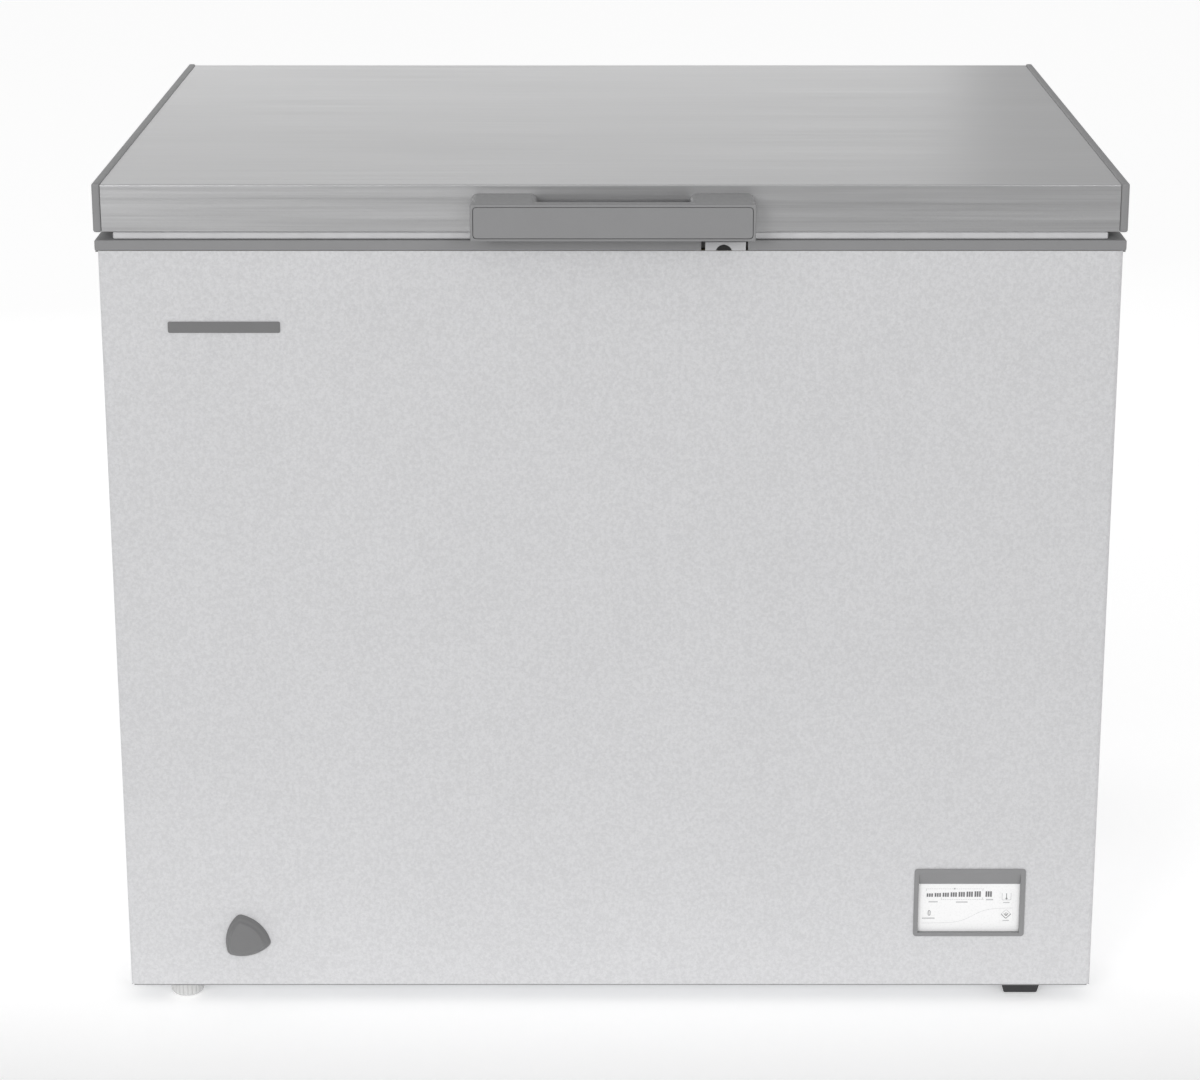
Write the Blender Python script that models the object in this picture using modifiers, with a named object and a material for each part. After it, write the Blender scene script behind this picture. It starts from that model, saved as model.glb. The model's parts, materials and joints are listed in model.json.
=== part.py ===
"""Chest freezer: a foamed steel cabinet on four feet, with a spring-hinged lid.

Metres, +Z up. The front faces -Y and +X is the right-hand side seen from the front. The origin is under
the middle of the whole object, on the floor. Each named object is one piece of the freezer.
"""

import math

import bmesh
import bpy
from mathutils import Matrix, Vector

# ---- driving dimensions -------------------------------------------------------------------------------
WIDTH = 0.984
DEPTH = 0.777
HEIGHT = 0.845
HANDLE_REACH = 0.042
GAP = 0.0003
SMOOTH_BELOW = 35

# Cabinet
BODY_HALF = 0.489
BODY_FRONT = -0.3455
BODY_BACK = 0.3535
BODY_LOW = 0.0165
BODY_TOP = 0.7796
SHEET = 0.0012
BACK_SHEET = 0.0008
CORNER = 0.004

# Trim ring round the mouth
TRIM_HALF = 0.4915
TRIM_FRONT = -0.3463
TRIM_BACK = 0.3555
TRIM_LOW = 0.7800
TRIM_TOP = 0.7900
MOUTH_HALF = 0.4215
MOUTH_FRONT = -0.2790
MOUTH_BACK = 0.2870

# Tub
TUB_HALF = 0.424
TUB_FRONT = -0.2815
TUB_BACK = 0.2895
TUB_FLOOR = 0.100
TUB_TOP = 0.7790
TUB_ROUND = 0.018
LINER = 0.001
STEP_X = 0.190
STEP_Z = 0.345

# Compressor bay
BAY_LEFT = 0.247
BAY_TOP = 0.288
COMPRESSOR = (0.365, 0.215)
COMPRESSOR_RADIUS = 0.072
COMPRESSOR_LOW = 0.0328
COMPRESSOR_HEIGHT = 0.168
COMPRESSOR_DOME = 0.045
VENT_Y = (0.060, 0.300)
VENT_Z = (0.050, 0.250)
INLET = (0.300, 0.055)

# Refrigerant circuit
SUCTION = (0.360, 0.318)
SUCTION_BORE = 0.0035
CONDENSER_Y = 0.3475
CONDENSER_BORE = 0.0025
DRIER = (0.440, 0.120)
COIL_TURNS = 6
COIL_PITCH = 0.050
COIL_TOP = 0.728

# Lid
LID_FRONT = HANDLE_REACH - DEPTH / 2
LID_BACK = DEPTH / 2
LID_LOW = 0.7975
LID_SKIN = 0.0008
LID_FOLD = 0.0012
CAP_WIDTH = 0.0079
STEEL_TOP = HEIGHT - 0.0015
PLUG_HALF = 0.409
PLUG_FRONT = -0.262
PLUG_BACK = 0.270
PLUG_LOW = 0.7878
LID_LINER = 0.0012
SEAL_HALF = 0.474
SEAL_FRONT = -0.3430
SEAL_BACK = 0.338

# Lid hinges
HINGE_Y = 0.3715
HINGE_Z = 0.7860
HINGE_X = 0.330
PIN_RADIUS = 0.003

# Handle
HANDLE_LEFT = -0.1318
HANDLE_RIGHT = 0.1365
HANDLE_LOW = LID_LOW
HANDLE_TOP = 0.8328
BAR_DEPTH = 0.014
INSERT_CORNER = 0.0032

# Lock
LOCK_X = 0.108
LOCK_Z = 0.7830
BARREL_RADIUS = 0.0025

# Control panel
BEZEL_LOW = (0.3071, 0.0702)
BEZEL_HIGH = (0.4194, 0.1437)
FACE_LOW = (0.3116, 0.0740)
FACE_HIGH = (0.4144, 0.1248)
FACE_Y = BODY_FRONT + 0.0035
BUTTON = 0.013
SET_BUTTON = (0.4013, 0.1109)
FREEZE_BUTTON = (0.4013, 0.0912)

# Drain
DRAIN_X = -0.370
DRAIN_Z = 0.069
DRAIN_Y = -0.240
KNOB_WIDTH = 0.0455
KNOB_CORNER = 0.006
KNOB_DEPTH = 0.0105
KNOB_TAPER = 0.0050
KNOB_TURN = math.radians(-15)
SPOUT_RADIUS = 0.0070
CHANNEL_RADIUS = 0.0090

# Feet
FOOT_LEFT_X = -0.434
FOOT_RIGHT_X = 0.4205
FOOT_FRONT_Y = -0.327
FOOT_FRONT_RIGHT_Y = -0.317
FOOT_REAR_Y = 0.327
FOOT_RADIUS = 0.0170
FOOT_DISC = 0.0150
FOOT_RIBS = 20

# Basket
BASKET_X = (0.170, 0.414)
BASKET_LOW = 0.570
BASKET_TOP = 0.779
BASKET_RIM = 0.789

# slot: colour, roughness, metallic
MATERIALS = {
    "body_paint": ((0.64, 0.64, 0.655), 0.55, 0.0),
    "lid_steel": ((0.56, 0.56, 0.57), 0.32, 1.0),
    "grey_plastic": ((0.26, 0.26, 0.265), 0.5, 0.0),
    "light_plastic": ((0.52, 0.52, 0.53), 0.5, 0.0),
    "knob_plastic": ((0.21, 0.21, 0.215), 0.5, 0.0),
    "dark_plastic": ((0.03, 0.03, 0.03), 0.6, 0.0),
    "white_plastic": ((0.80, 0.80, 0.79), 0.45, 0.0),
    "gasket_rubber": ((0.47, 0.47, 0.48), 0.7, 0.0),
    "black_rubber": ((0.02, 0.02, 0.02), 0.8, 0.0),
    "liner_white": ((0.82, 0.83, 0.84), 0.4, 0.0),
    "foam": ((0.80, 0.72, 0.48), 0.9, 0.0),
    "galvanised": ((0.55, 0.56, 0.58), 0.45, 1.0),
    "compressor_black": ((0.015, 0.015, 0.015), 0.4, 0.0),
    "copper": ((0.72, 0.36, 0.22), 0.3, 1.0),
    "face_white": ((0.86, 0.86, 0.86), 0.3, 0.0),
    "board_green": ((0.03, 0.16, 0.06), 0.5, 0.0),
    "chrome_steel": ((0.62, 0.62, 0.63), 0.2, 1.0),
    "wire_white": ((0.80, 0.80, 0.80), 0.35, 0.0),
}


# ---- helpers ------------------------------------------------------------------------------------------
def clear_scene():
    for obj in list(bpy.data.objects):
        bpy.data.objects.remove(obj, do_unlink=True)


def new_collection(name, hidden):
    made = bpy.data.collections.new(name)
    made.hide_render = hidden
    bpy.context.scene.collection.children.link(made)
    return made


def new_material(name):
    colour, roughness, metallic = MATERIALS[name]
    material = bpy.data.materials.new(name)
    material.use_nodes = True
    shader = material.node_tree.nodes["Principled BSDF"]
    shader.inputs["Base Color"].default_value = (*colour, 1.0)
    shader.inputs["Roughness"].default_value = roughness
    shader.inputs["Metallic"].default_value = metallic
    return material


def place(obj, slot, pivot=None):
    """Puts a piece in the freezer's collection with its material, its origin on the pivot empty if it has one."""
    if slot is None:
        CUTTERS.objects.link(obj)
        obj.hide_render = True
        obj.display_type = "WIRE"
    else:
        FREEZER.objects.link(obj)
        obj.data.materials.append(SLOTS[slot])
        if obj.type == "MESH":
            obj.data.shade_smooth()
            obj.data.set_sharp_from_angle(angle=math.radians(SMOOTH_BELOW))
    if pivot is not None:
        if obj.type == "MESH":
            obj.data.transform(Matrix.Translation(-pivot.location))
        else:
            obj.location = -pivot.location
        obj.parent = pivot
    return obj


def pivot_at(name, position):
    empty = bpy.data.objects.new(name, None)
    empty.location = position
    FREEZER.objects.link(empty)
    bpy.context.view_layer.update()
    return empty


def object_from(name, bm):
    mesh = bpy.data.meshes.new(name)
    bmesh.ops.recalc_face_normals(bm, faces=bm.faces)
    bm.to_mesh(mesh)
    bm.free()
    return bpy.data.objects.new(name, mesh)


def add_cube(bm, low, high):
    low, high = Vector(low), Vector(high)
    size = high - low
    matrix = Matrix.Translation((low + high) / 2) @ Matrix.Diagonal((*size, 1))
    return bmesh.ops.create_cube(bm, size=1, matrix=matrix)["verts"]


def box(name, low, high, slot=None, pivot=None):
    bm = bmesh.new()
    add_cube(bm, low, high)
    return place(object_from(name, bm), slot, pivot)


def boxes(name, spans):
    """One cutter made of several separate boxes."""
    bm = bmesh.new()
    for low, high in spans:
        add_cube(bm, low, high)
    return place(object_from(name, bm), None)


def tapered_box(name, low, high, inset, slot):
    """A box whose bottom face is smaller than its top by an inset all round."""
    bm = bmesh.new()
    centre = (Vector(low) + Vector(high)) / 2
    for vert in add_cube(bm, low, high):
        if vert.co.z < centre.z:
            vert.co.x -= math.copysign(inset, vert.co.x - centre.x)
            vert.co.y -= math.copysign(inset, vert.co.y - centre.y)
    return place(object_from(name, bm), slot)


def rod(name, start, end, radius, slot=None, pivot=None, sides=24):
    start, end = Vector(start), Vector(end)
    along = end - start
    turn = along.to_track_quat("Z", "Y").to_matrix().to_4x4()
    bm = bmesh.new()
    bmesh.ops.create_cone(
        bm, cap_ends=True, segments=sides, radius1=radius, radius2=radius, depth=along.length,
        matrix=Matrix.Translation((start + end) / 2) @ turn,
    )
    return place(object_from(name, bm), slot, pivot)


def prism(name, outline, low, high, axis, slot=None, pivot=None):
    """A flat outline carried along an axis from low to high. The outline's two numbers are the other axes."""
    bm = bmesh.new()
    where = {"X": lambda a, b, c: (c, a, b), "Y": lambda a, b, c: (a, c, b), "Z": lambda a, b, c: (a, b, c)}
    verts = [bm.verts.new(where[axis](a, b, low)) for a, b in outline]
    face = bm.faces.new(verts)
    moved = bmesh.ops.extrude_face_region(bm, geom=[face])["geom"]
    shift = Vector(where[axis](0, 0, high - low))
    bmesh.ops.translate(bm, verts=[v for v in moved if isinstance(v, bmesh.types.BMVert)], vec=shift)
    return place(object_from(name, bm), slot, pivot)


def sheet(name, outline, low, high, axis, thickness, slot, pivot=None):
    """An open outline carried along an axis and given a wall on its inner side."""
    bm = bmesh.new()
    where = {"X": lambda a, b, c: (c, a, b), "Z": lambda a, b, c: (a, b, c)}
    verts = [bm.verts.new(where[axis](a, b, low)) for a, b in outline]
    edges = [bm.edges.new(pair) for pair in zip(verts, verts[1:])]
    moved = bmesh.ops.extrude_edge_only(bm, edges=edges)["geom"]
    shift = Vector(where[axis](0, 0, high - low))
    bmesh.ops.translate(bm, verts=[v for v in moved if isinstance(v, bmesh.types.BMVert)], vec=shift)
    mesh = bpy.data.meshes.new(name)
    bm.to_mesh(mesh)
    bm.free()
    obj = place(bpy.data.objects.new(name, mesh), slot, pivot)
    wall = obj.modifiers.new("wall", "SOLIDIFY")
    wall.thickness = thickness
    wall.offset = -1
    wall.use_even_offset = True
    return obj


def turned(name, profile, position, slot, pivot=None, steps=24):
    """A profile of (radius, height) points, given from bottom to top, turned about a vertical axis."""
    bm = bmesh.new()
    verts = [bm.verts.new((radius, 0, height)) for radius, height in reversed(profile)]
    for pair in zip(verts, verts[1:]):
        bm.edges.new(pair)
    mesh = bpy.data.meshes.new(name)
    bm.to_mesh(mesh)
    bm.free()
    obj = place(bpy.data.objects.new(name, mesh), slot)
    obj.location = position
    if pivot is not None:
        obj.location = Vector(position) - pivot.location
        obj.parent = pivot
    screw = obj.modifiers.new("turn", "SCREW")
    screw.steps = steps
    screw.render_steps = steps
    screw.use_merge_vertices = True
    screw.merge_threshold = 0.00005
    return obj


def fillet(points, radius, steps=3):
    """The same path with each inner corner rounded."""
    points = [Vector(point) for point in points]
    path = [points[0]]
    for before, corner, after in zip(points, points[1:], points[2:]):
        back, ahead = (before - corner).normalized(), (after - corner).normalized()
        half = back.angle(ahead) / 2
        centre = corner + (back + ahead).normalized() * radius / math.sin(half)
        start = corner + back * radius / math.tan(half) - centre
        end = corner + ahead * radius / math.tan(half) - centre
        axis = start.cross(end)
        for step in range(steps + 1):
            path.append(centre + Matrix.Rotation(start.angle(end) * step / steps, 3, axis) @ start)
    return path + [points[-1]]


def pipe(name, path, radius, slot, resolution=2, capped=True):
    curve = bpy.data.curves.new(name, "CURVE")
    curve.dimensions = "3D"
    curve.bevel_depth = radius
    curve.bevel_resolution = resolution
    curve.use_fill_caps = capped
    spline = curve.splines.new("POLY")
    spline.points.add(len(path) - 1)
    for point, position in zip(spline.points, path):
        point.co = (*position, 1)
    return place(bpy.data.objects.new(name, curve), slot)


def cut(obj, *cutters):
    return combine(obj, "DIFFERENCE", cutters)


def join(obj, *pieces):
    return combine(obj, "UNION", pieces)


def combine(obj, operation, others):
    for other in others:
        step = obj.modifiers.new(operation.lower(), "BOOLEAN")
        step.operation = operation
        step.solver = "EXACT"
        step.object = other
    return obj


def bevel(obj, width, segments=2, angle=40):
    rounding = obj.modifiers.new("rounding", "BEVEL")
    rounding.width = width
    rounding.segments = segments
    rounding.limit_method = "ANGLE"
    rounding.angle_limit = math.radians(angle)
    return obj


def round_edges(obj, radius, keep, segments=3):
    """Rounds the edges of a mesh for which keep(edge centre, edge direction) is true."""
    bm = bmesh.new()
    bm.from_mesh(obj.data)
    chosen = []
    for edge in bm.edges:
        a, b = (vert.co for vert in edge.verts)
        if keep((a + b) / 2, (b - a).normalized()):
            chosen.append(edge)
    bmesh.ops.bevel(bm, geom=chosen, offset=radius, segments=segments, profile=0.5, affect="EDGES")
    bm.to_mesh(obj.data)
    bm.free()
    return obj


def drain_rod(name, start, end, radius, slot=None, pivot=None):
    """A rod on the drain's line, which runs front to back."""
    return rod(name, (DRAIN_X, start, DRAIN_Z), (DRAIN_X, end, DRAIN_Z), radius, slot, pivot)


def upright(centre, direction):
    return abs(direction.z) > 0.99


def upright_in_front(centre, direction):
    return upright(centre, direction) and centre.y < 0


# ---- cabinet ------------------------------------------------------------------------------------------
def tub_block(name, grow, top, slot=None):
    """The tub's space grown by a distance: an L from the front, with rounded corners and floor edges."""
    half, floor = TUB_HALF + grow, TUB_FLOOR - grow
    step_x, step_z = STEP_X + grow, STEP_Z - grow
    outline = [(-half, floor), (step_x, floor), (step_x, step_z), (half, step_z), (half, top), (-half, top)]
    block = prism(name, outline, TUB_FRONT - grow, TUB_BACK + grow, "Y", slot)
    return round_edges(block, TUB_ROUND, lambda centre, direction: centre.z < top - 0.001)


def make_wrapper():
    half, back = BODY_HALF, BODY_BACK
    walls = [(half, back, 0), (half, BODY_FRONT, 0), (-half, BODY_FRONT, 0), (-half, back, 0)]
    outline = [(point.x, point.y) for point in fillet(walls, CORNER)]
    wrapper = sheet("cabinet_wrapper", outline, BODY_LOW, BODY_TOP, "Z", SHEET, "body_paint")
    front, behind = BODY_FRONT - 0.01, BODY_FRONT + 0.01
    drain = drain_rod("cut_drain", front, behind, CHANNEL_RADIUS + GAP)
    control = box("cut_control", (BEZEL_LOW[0] + 0.0014, front, BEZEL_LOW[1] + 0.0014),
                  (BEZEL_HIGH[0] - 0.0014, behind, BEZEL_HIGH[1] - 0.0014))
    vent = box("cut_vent", (half - 0.01, VENT_Y[0], VENT_Z[0]), (half + 0.01, VENT_Y[1], VENT_Z[1]))
    return cut(wrapper, drain, control, vent)


def make_back_panel():
    edge = BODY_HALF - SHEET - GAP
    panel = box("back_panel", (-edge, BODY_BACK - BACK_SHEET, 0.0191), (edge, BODY_BACK, 0.7785), "galvanised")
    bay = box("cut_bay_back", (BAY_LEFT + 0.004, 0.34, 0.01), (edge - 0.006, 0.36, BAY_TOP - 0.004))
    return cut(panel, bay)


def make_base():
    edge, front, back = BODY_HALF - SHEET - GAP, BODY_FRONT + SHEET + GAP, BODY_BACK - BACK_SHEET - GAP
    pan = box("base_pan", (-edge, front, 0.0168), (BAY_LEFT - GAP, back, 0.0180), "galvanised")
    round_edges(pan, CORNER, upright_in_front)
    for row, y in (("front", FOOT_FRONT_Y), ("rear", FOOT_REAR_Y)):
        cut(pan, rod("cut_stem_" + row, (FOOT_LEFT_X, y, 0.01), (FOOT_LEFT_X, y, 0.025), 0.0044))
    tray = box("compressor_tray", (BAY_LEFT, front, 0.0168), (edge, back, 0.0188), "galvanised")
    round_edges(tray, CORNER, upright_in_front)


def make_liner():
    liner = tub_block("inner_liner", LINER, TUB_TOP, "liner_white")
    hole = rod("cut_liner_drain", (DRAIN_X, DRAIN_Y, 0.09), (DRAIN_X, DRAIN_Y, 0.11), 0.008)
    return cut(liner, tub_block("cut_tub", 0, TUB_TOP + 0.02), hole)


def make_foam():
    edge, front, back = BODY_HALF - SHEET - GAP, BODY_FRONT + SHEET + GAP, BODY_BACK - BACK_SHEET - GAP
    foam = box("insulation_foam", (-edge, front, 0.0183), (edge, back, 0.7785), "foam")
    round_edges(foam, CORNER, upright_in_front)
    tub = tub_block("cut_foam_tub", LINER + GAP, TUB_TOP + 0.02)
    bay = box("cut_foam_bay", (BAY_LEFT, front - 0.01, 0.0), (edge + 0.01, back + 0.01, BAY_TOP))
    coil = box("cut_foam_coil", (-TUB_HALF - 0.0105, TUB_FRONT - 0.0105, 0.400),
               (TUB_HALF + 0.0105, TUB_BACK + 0.0105, 0.745))
    suction = rod("cut_foam_suction", (SUCTION[0], SUCTION[1], 0.28), (SUCTION[0], SUCTION[1], 0.415), 0.008)
    bend = box("cut_foam_bend", (SUCTION[0] - 0.012, 0.295, 0.401), (SUCTION[0] + 0.012, 0.3275, 0.440))
    wall = box("cut_foam_condenser", (-0.365, CONDENSER_Y - 0.005, 0.300), (0.315, back + 0.01, 0.760))
    drop = box("cut_foam_drop", (0.260, CONDENSER_Y - 0.005, 0.280), (0.315, back + 0.01, 0.301))
    cut(foam, tub, bay, coil, suction, bend, wall, drop)
    room = 0.0105
    along = drain_rod("cut_foam_spout", front - 0.01, DRAIN_Y + room, CHANNEL_RADIUS + 0.001)
    down = rod("cut_foam_drain", (DRAIN_X, DRAIN_Y, DRAIN_Z - room), (DRAIN_X, DRAIN_Y, 0.102), room)
    cut(foam, along, down)
    for row, y in (("front", FOOT_FRONT_Y), ("rear", FOOT_REAR_Y)):
        cut(foam, rod("cut_foam_stem_" + row, (FOOT_LEFT_X, y, 0.01), (FOOT_LEFT_X, y, 0.045), 0.006))
    return foam


def make_trim():
    trim = box("top_trim_frame", (-TRIM_HALF, TRIM_FRONT, TRIM_LOW), (TRIM_HALF, TRIM_BACK, TRIM_TOP),
               "grey_plastic")
    bevel(trim, 0.0008, 1)
    lip = box("join_trim_lip", (-MOUTH_HALF - 0.0018, MOUTH_FRONT - 0.0018, 0.766),
              (MOUTH_HALF + 0.0018, MOUTH_BACK + 0.0018, TRIM_LOW + 0.002))
    skirts = box("join_trim_skirt", (-TRIM_HALF, BODY_FRONT + 0.004, 0.7776),
                 (TRIM_HALF, TRIM_BACK, TRIM_LOW + 0.002))
    inside = box("cut_trim_skirt", (-BODY_HALF - GAP, BODY_FRONT - 0.02, 0.77),
                 (BODY_HALF + GAP, BODY_BACK + GAP, TRIM_LOW))
    mouth = box("cut_trim_mouth", (-MOUTH_HALF, MOUTH_FRONT, 0.70), (MOUTH_HALF, MOUTH_BACK, 0.80))
    round_edges(mouth, TUB_ROUND - 0.003, upright)
    round_edges(lip, TUB_ROUND - 0.0015, upright)
    rabbets = boxes("cut_trim_rabbets", [
        ((-MOUTH_HALF + 0.01, MOUTH_FRONT - 0.010, 0.785), (MOUTH_HALF - 0.01, MOUTH_FRONT + 0.01, 0.80)),
        ((-MOUTH_HALF + 0.01, MOUTH_BACK - 0.01, 0.785), (MOUTH_HALF - 0.01, MOUTH_BACK + 0.010, 0.80)),
    ])
    notch = box("cut_trim_notch", (0.0863, -0.36, 0.77), (0.1310, -0.3357, 0.80))
    join(trim, skirts)
    cut(trim, inside)
    join(trim, lip)
    return cut(trim, mouth, rabbets, notch)


def make_fixed_feet():
    for row, y in (("front", FOOT_FRONT_RIGHT_Y), ("rear", FOOT_REAR_Y)):
        tapered_box("foot_%s_right" % row, (FOOT_RIGHT_X - 0.0205, y - 0.017, 0),
                    (FOOT_RIGHT_X + 0.0205, y + 0.017, BODY_LOW), 0.0035, "dark_plastic")


def make_levelling_foot(row, y):
    """A ribbed screw foot: a fluted disc, a collar and a stem up through the base pan."""
    pivot = pivot_at("pivot_foot_%s_left" % row, (FOOT_LEFT_X, y, 0))
    outline = []
    for step in range(FOOT_RIBS * 4):
        radius = FOOT_RADIUS - (0.0011 if step % 4 in (2, 3) else 0)
        angle = math.tau * step / (FOOT_RIBS * 4)
        outline.append((FOOT_LEFT_X + radius * math.cos(angle), y + radius * math.sin(angle)))
    foot = prism("foot_%s_left" % row, outline, 0, FOOT_DISC, "Z", "white_plastic", pivot)
    collar = rod("join_collar_" + row, (FOOT_LEFT_X, y, 0.006), (FOOT_LEFT_X, y, 0.0162), 0.009)
    stem = rod("join_stem_" + row, (FOOT_LEFT_X, y, 0.008), (FOOT_LEFT_X, y, 0.040), 0.0038, sides=16)
    return join(foot, collar, stem)


# ---- compressor bay -----------------------------------------------------------------------------------
def make_compressor():
    x, y = COMPRESSOR
    dome = []
    for angle in range(0, 91, 15):
        turn = math.radians(angle)
        dome.append((COMPRESSOR_RADIUS * math.cos(turn), COMPRESSOR_DOME * math.sin(turn)))
    low = [(radius, COMPRESSOR_LOW + COMPRESSOR_DOME - height * 0.9) for radius, height in reversed(dome)]
    seam = COMPRESSOR_LOW + 0.095
    rim = [(COMPRESSOR_RADIUS, seam - 0.002), (COMPRESSOR_RADIUS + 0.003, seam - 0.002),
           (COMPRESSOR_RADIUS + 0.003, seam + 0.002), (COMPRESSOR_RADIUS, seam + 0.002)]
    shoulder = COMPRESSOR_LOW + COMPRESSOR_HEIGHT - COMPRESSOR_DOME
    high = [(radius, shoulder + height) for radius, height in dome]
    profile = [(max(radius, 0), height) for radius, height in low + rim + high]
    profile[0] = (0, profile[0][1])
    profile[-1] = (0, profile[-1][1])
    turned("compressor", profile, (x, y, 0), "compressor_black", steps=28)
    plate = box("compressor_mount_plate", (x - 0.085, y - 0.092, 0.0305), (x + 0.085, y + 0.092, 0.0325),
                "galvanised")
    grommet = [(0, 0), (0.010, 0), (0.010, 0.0112), (0.0058, 0.0112), (0.0058, 0.0143), (0.009, 0.0143),
               (0.009, 0.0185), (0, 0.0185)]
    for number, (side, end) in enumerate(((-1, -1), (1, -1), (-1, 1), (1, 1)), 1):
        where = (x + side * 0.070, y + end * 0.077, 0.0191)
        turned("compressor_grommet_%d" % number, grommet, where, "black_rubber", steps=12)
        cut(plate, rod("cut_grommet_%d" % number, where, (where[0], where[1], 0.06), 0.0064, sides=12))
    terminal = box("terminal_box", (0.262, y - 0.030, 0.075),
                   (x - COMPRESSOR_RADIUS - 0.0035, y + 0.030, 0.130), "dark_plastic")
    bevel(terminal, 0.003, 1)


def make_evaporator():
    """The cold coil: a tube wound round the tub, whose end leaves down the back as the suction line."""
    offset = 0.0055
    side, rear, front = TUB_HALF + offset, TUB_BACK + offset, TUB_FRONT - offset
    corners = [(0.20, rear, COIL_TOP)]
    for turn in range(COIL_TURNS):
        for number, (x, y) in enumerate(((side, rear), (side, front), (-side, front), (-side, rear))):
            corners.append((x, y, COIL_TOP - COIL_PITCH * (turn + (number + 0.5) / 4)))
    low = COIL_TOP - COIL_PITCH * COIL_TURNS
    corners += [(SUCTION[0], rear, low), (*SUCTION, low), (*SUCTION, 0.272)]
    around = fillet(corners[:-2], 0.020, 5)
    leaving = fillet([around[-2], *corners[-3:]], 0.010)
    pipe("evaporator_coil", around[:-1] + leaving[1:], SUCTION_BORE, "copper")


def make_condenser():
    """The warm coil: a tube that runs up and down inside the back panel."""
    run, lift, drop = 0.072, 0.745, 0.335
    start = Vector((0.300, CONDENSER_Y, 0.2750))
    points = [start]
    for number in range(10):
        x = start.x - run * number
        ends = (drop, lift) if number % 2 == 0 else (lift, drop)
        if number:
            points.append((x, CONDENSER_Y, ends[0]))
        points.append((x, CONDENSER_Y, ends[1] if number < 9 else 0.314))
    points += [(0.272, CONDENSER_Y, 0.314), (0.272, CONDENSER_Y, 0.2750)]
    pipe("condenser_coil", fillet(points, 0.012), CONDENSER_BORE, "copper")


def make_pipework():
    """The pipes between the compressor, the two coils and the filter drier."""
    x, y = COMPRESSOR
    suction = [(*SUCTION, 0.2717), (*SUCTION, 0.10), (SUCTION[0], y + COMPRESSOR_RADIUS + 0.0006, 0.10)]
    pipe("suction_pipe", fillet(suction, 0.010), SUCTION_BORE, "copper")

    side, lane, high = 0.300, 0.110, 0.255
    discharge = [(x, y - COMPRESSOR_RADIUS - 0.0004, 0.09), (x, lane, 0.09), (side, lane, 0.09),
                 (side, lane, high), (side, CONDENSER_Y, high), (side, CONDENSER_Y, 0.2747)]
    pipe("discharge_pipe", fillet(discharge, 0.009), CONDENSER_BORE, "copper")

    side, lane, high, low = 0.272, 0.070, 0.240, 0.050
    liquid = [(side, CONDENSER_Y, 0.2747), (side, CONDENSER_Y, high), (side, lane, high), (side, lane, low),
              (DRIER[0], lane, low), (*DRIER, low), (*DRIER, 0.0797)]
    pipe("liquid_line", fillet(liquid, 0.010), CONDENSER_BORE, "copper")

    neck, belly = 0.0035, 0.009
    profile = [(0, 0), (neck, 0), (neck, 0.008), (belly, 0.018), (belly, 0.088), (neck, 0.098), (neck, 0.104),
               (0, 0.104)]
    turned("filter_drier", profile, (*DRIER, 0.080), "copper", steps=16)

    beside, high = SUCTION[0] + 0.0062, 0.250
    capillary = [(*DRIER, 0.1843), (*DRIER, high), (DRIER[0], SUCTION[1], high), (beside, SUCTION[1], high),
                 (beside, SUCTION[1], 0.275)]
    pipe("capillary_tube", fillet(capillary, 0.008), 0.0011, "copper", resolution=1)


def make_vents():
    """The side grille and the perforated cover at the back of the compressor bay."""
    grille = box("side_vent_grille", (BODY_HALF - 0.003, VENT_Y[0] + GAP, VENT_Z[0] + GAP),
                 (BODY_HALF + 0.0006, VENT_Y[1] - GAP, VENT_Z[1] - GAP), "light_plastic")
    flange = box("join_vent_flange", (BODY_HALF + GAP, VENT_Y[0] - 0.005, VENT_Z[0] - 0.005),
                 (BODY_HALF + 0.0016, VENT_Y[1] + 0.005, VENT_Z[1] + 0.005))
    slots, rows = [], 13
    middle = (VENT_Y[0] + VENT_Y[1]) / 2
    for row in range(rows):
        z = VENT_Z[0] + 0.010 + row * (VENT_Z[1] - VENT_Z[0] - 0.020) / rows
        for low, high in ((VENT_Y[0] + 0.008, middle - 0.004), (middle + 0.004, VENT_Y[1] - 0.008)):
            slots.append(((BODY_HALF - 0.02, low, z), (BODY_HALF + 0.02, high, z + 0.007)))
    cut(join(grille, flange), boxes("cut_vent_slots", slots))

    cover = box("rear_bay_cover", (BAY_LEFT - 0.006, BODY_BACK + GAP, 0.0195),
                (BODY_HALF - 0.001, BODY_BACK + 0.0015, BAY_TOP + 0.004), "galvanised")
    slots = []
    for row in range(12):
        z = 0.095 + row * 0.0145
        for low in (0.275, 0.375):
            slots.append(((low, 0.34, z), (low + 0.085, 0.37, z + 0.006)))
    inlet = rod("cut_inlet", (INLET[0], 0.34, INLET[1]), (INLET[0], 0.37, INLET[1]), 0.0098)
    cut(cover, boxes("cut_cover_slots", slots), inlet)
    gland = rod("power_inlet_gland", (INLET[0], BODY_BACK - 0.006, INLET[1]),
                (INLET[0], BODY_BACK + 0.010, INLET[1]), 0.0095, "black_rubber")
    flange = rod("join_gland_flange", (INLET[0], BODY_BACK + 0.0018, INLET[1]),
                 (INLET[0], BODY_BACK + 0.0045, INLET[1]), 0.014)
    bore = rod("cut_gland_bore", (INLET[0], 0.33, INLET[1]), (INLET[0], 0.38, INLET[1]), 0.004, sides=16)
    cut(join(gland, flange), bore)


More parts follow.
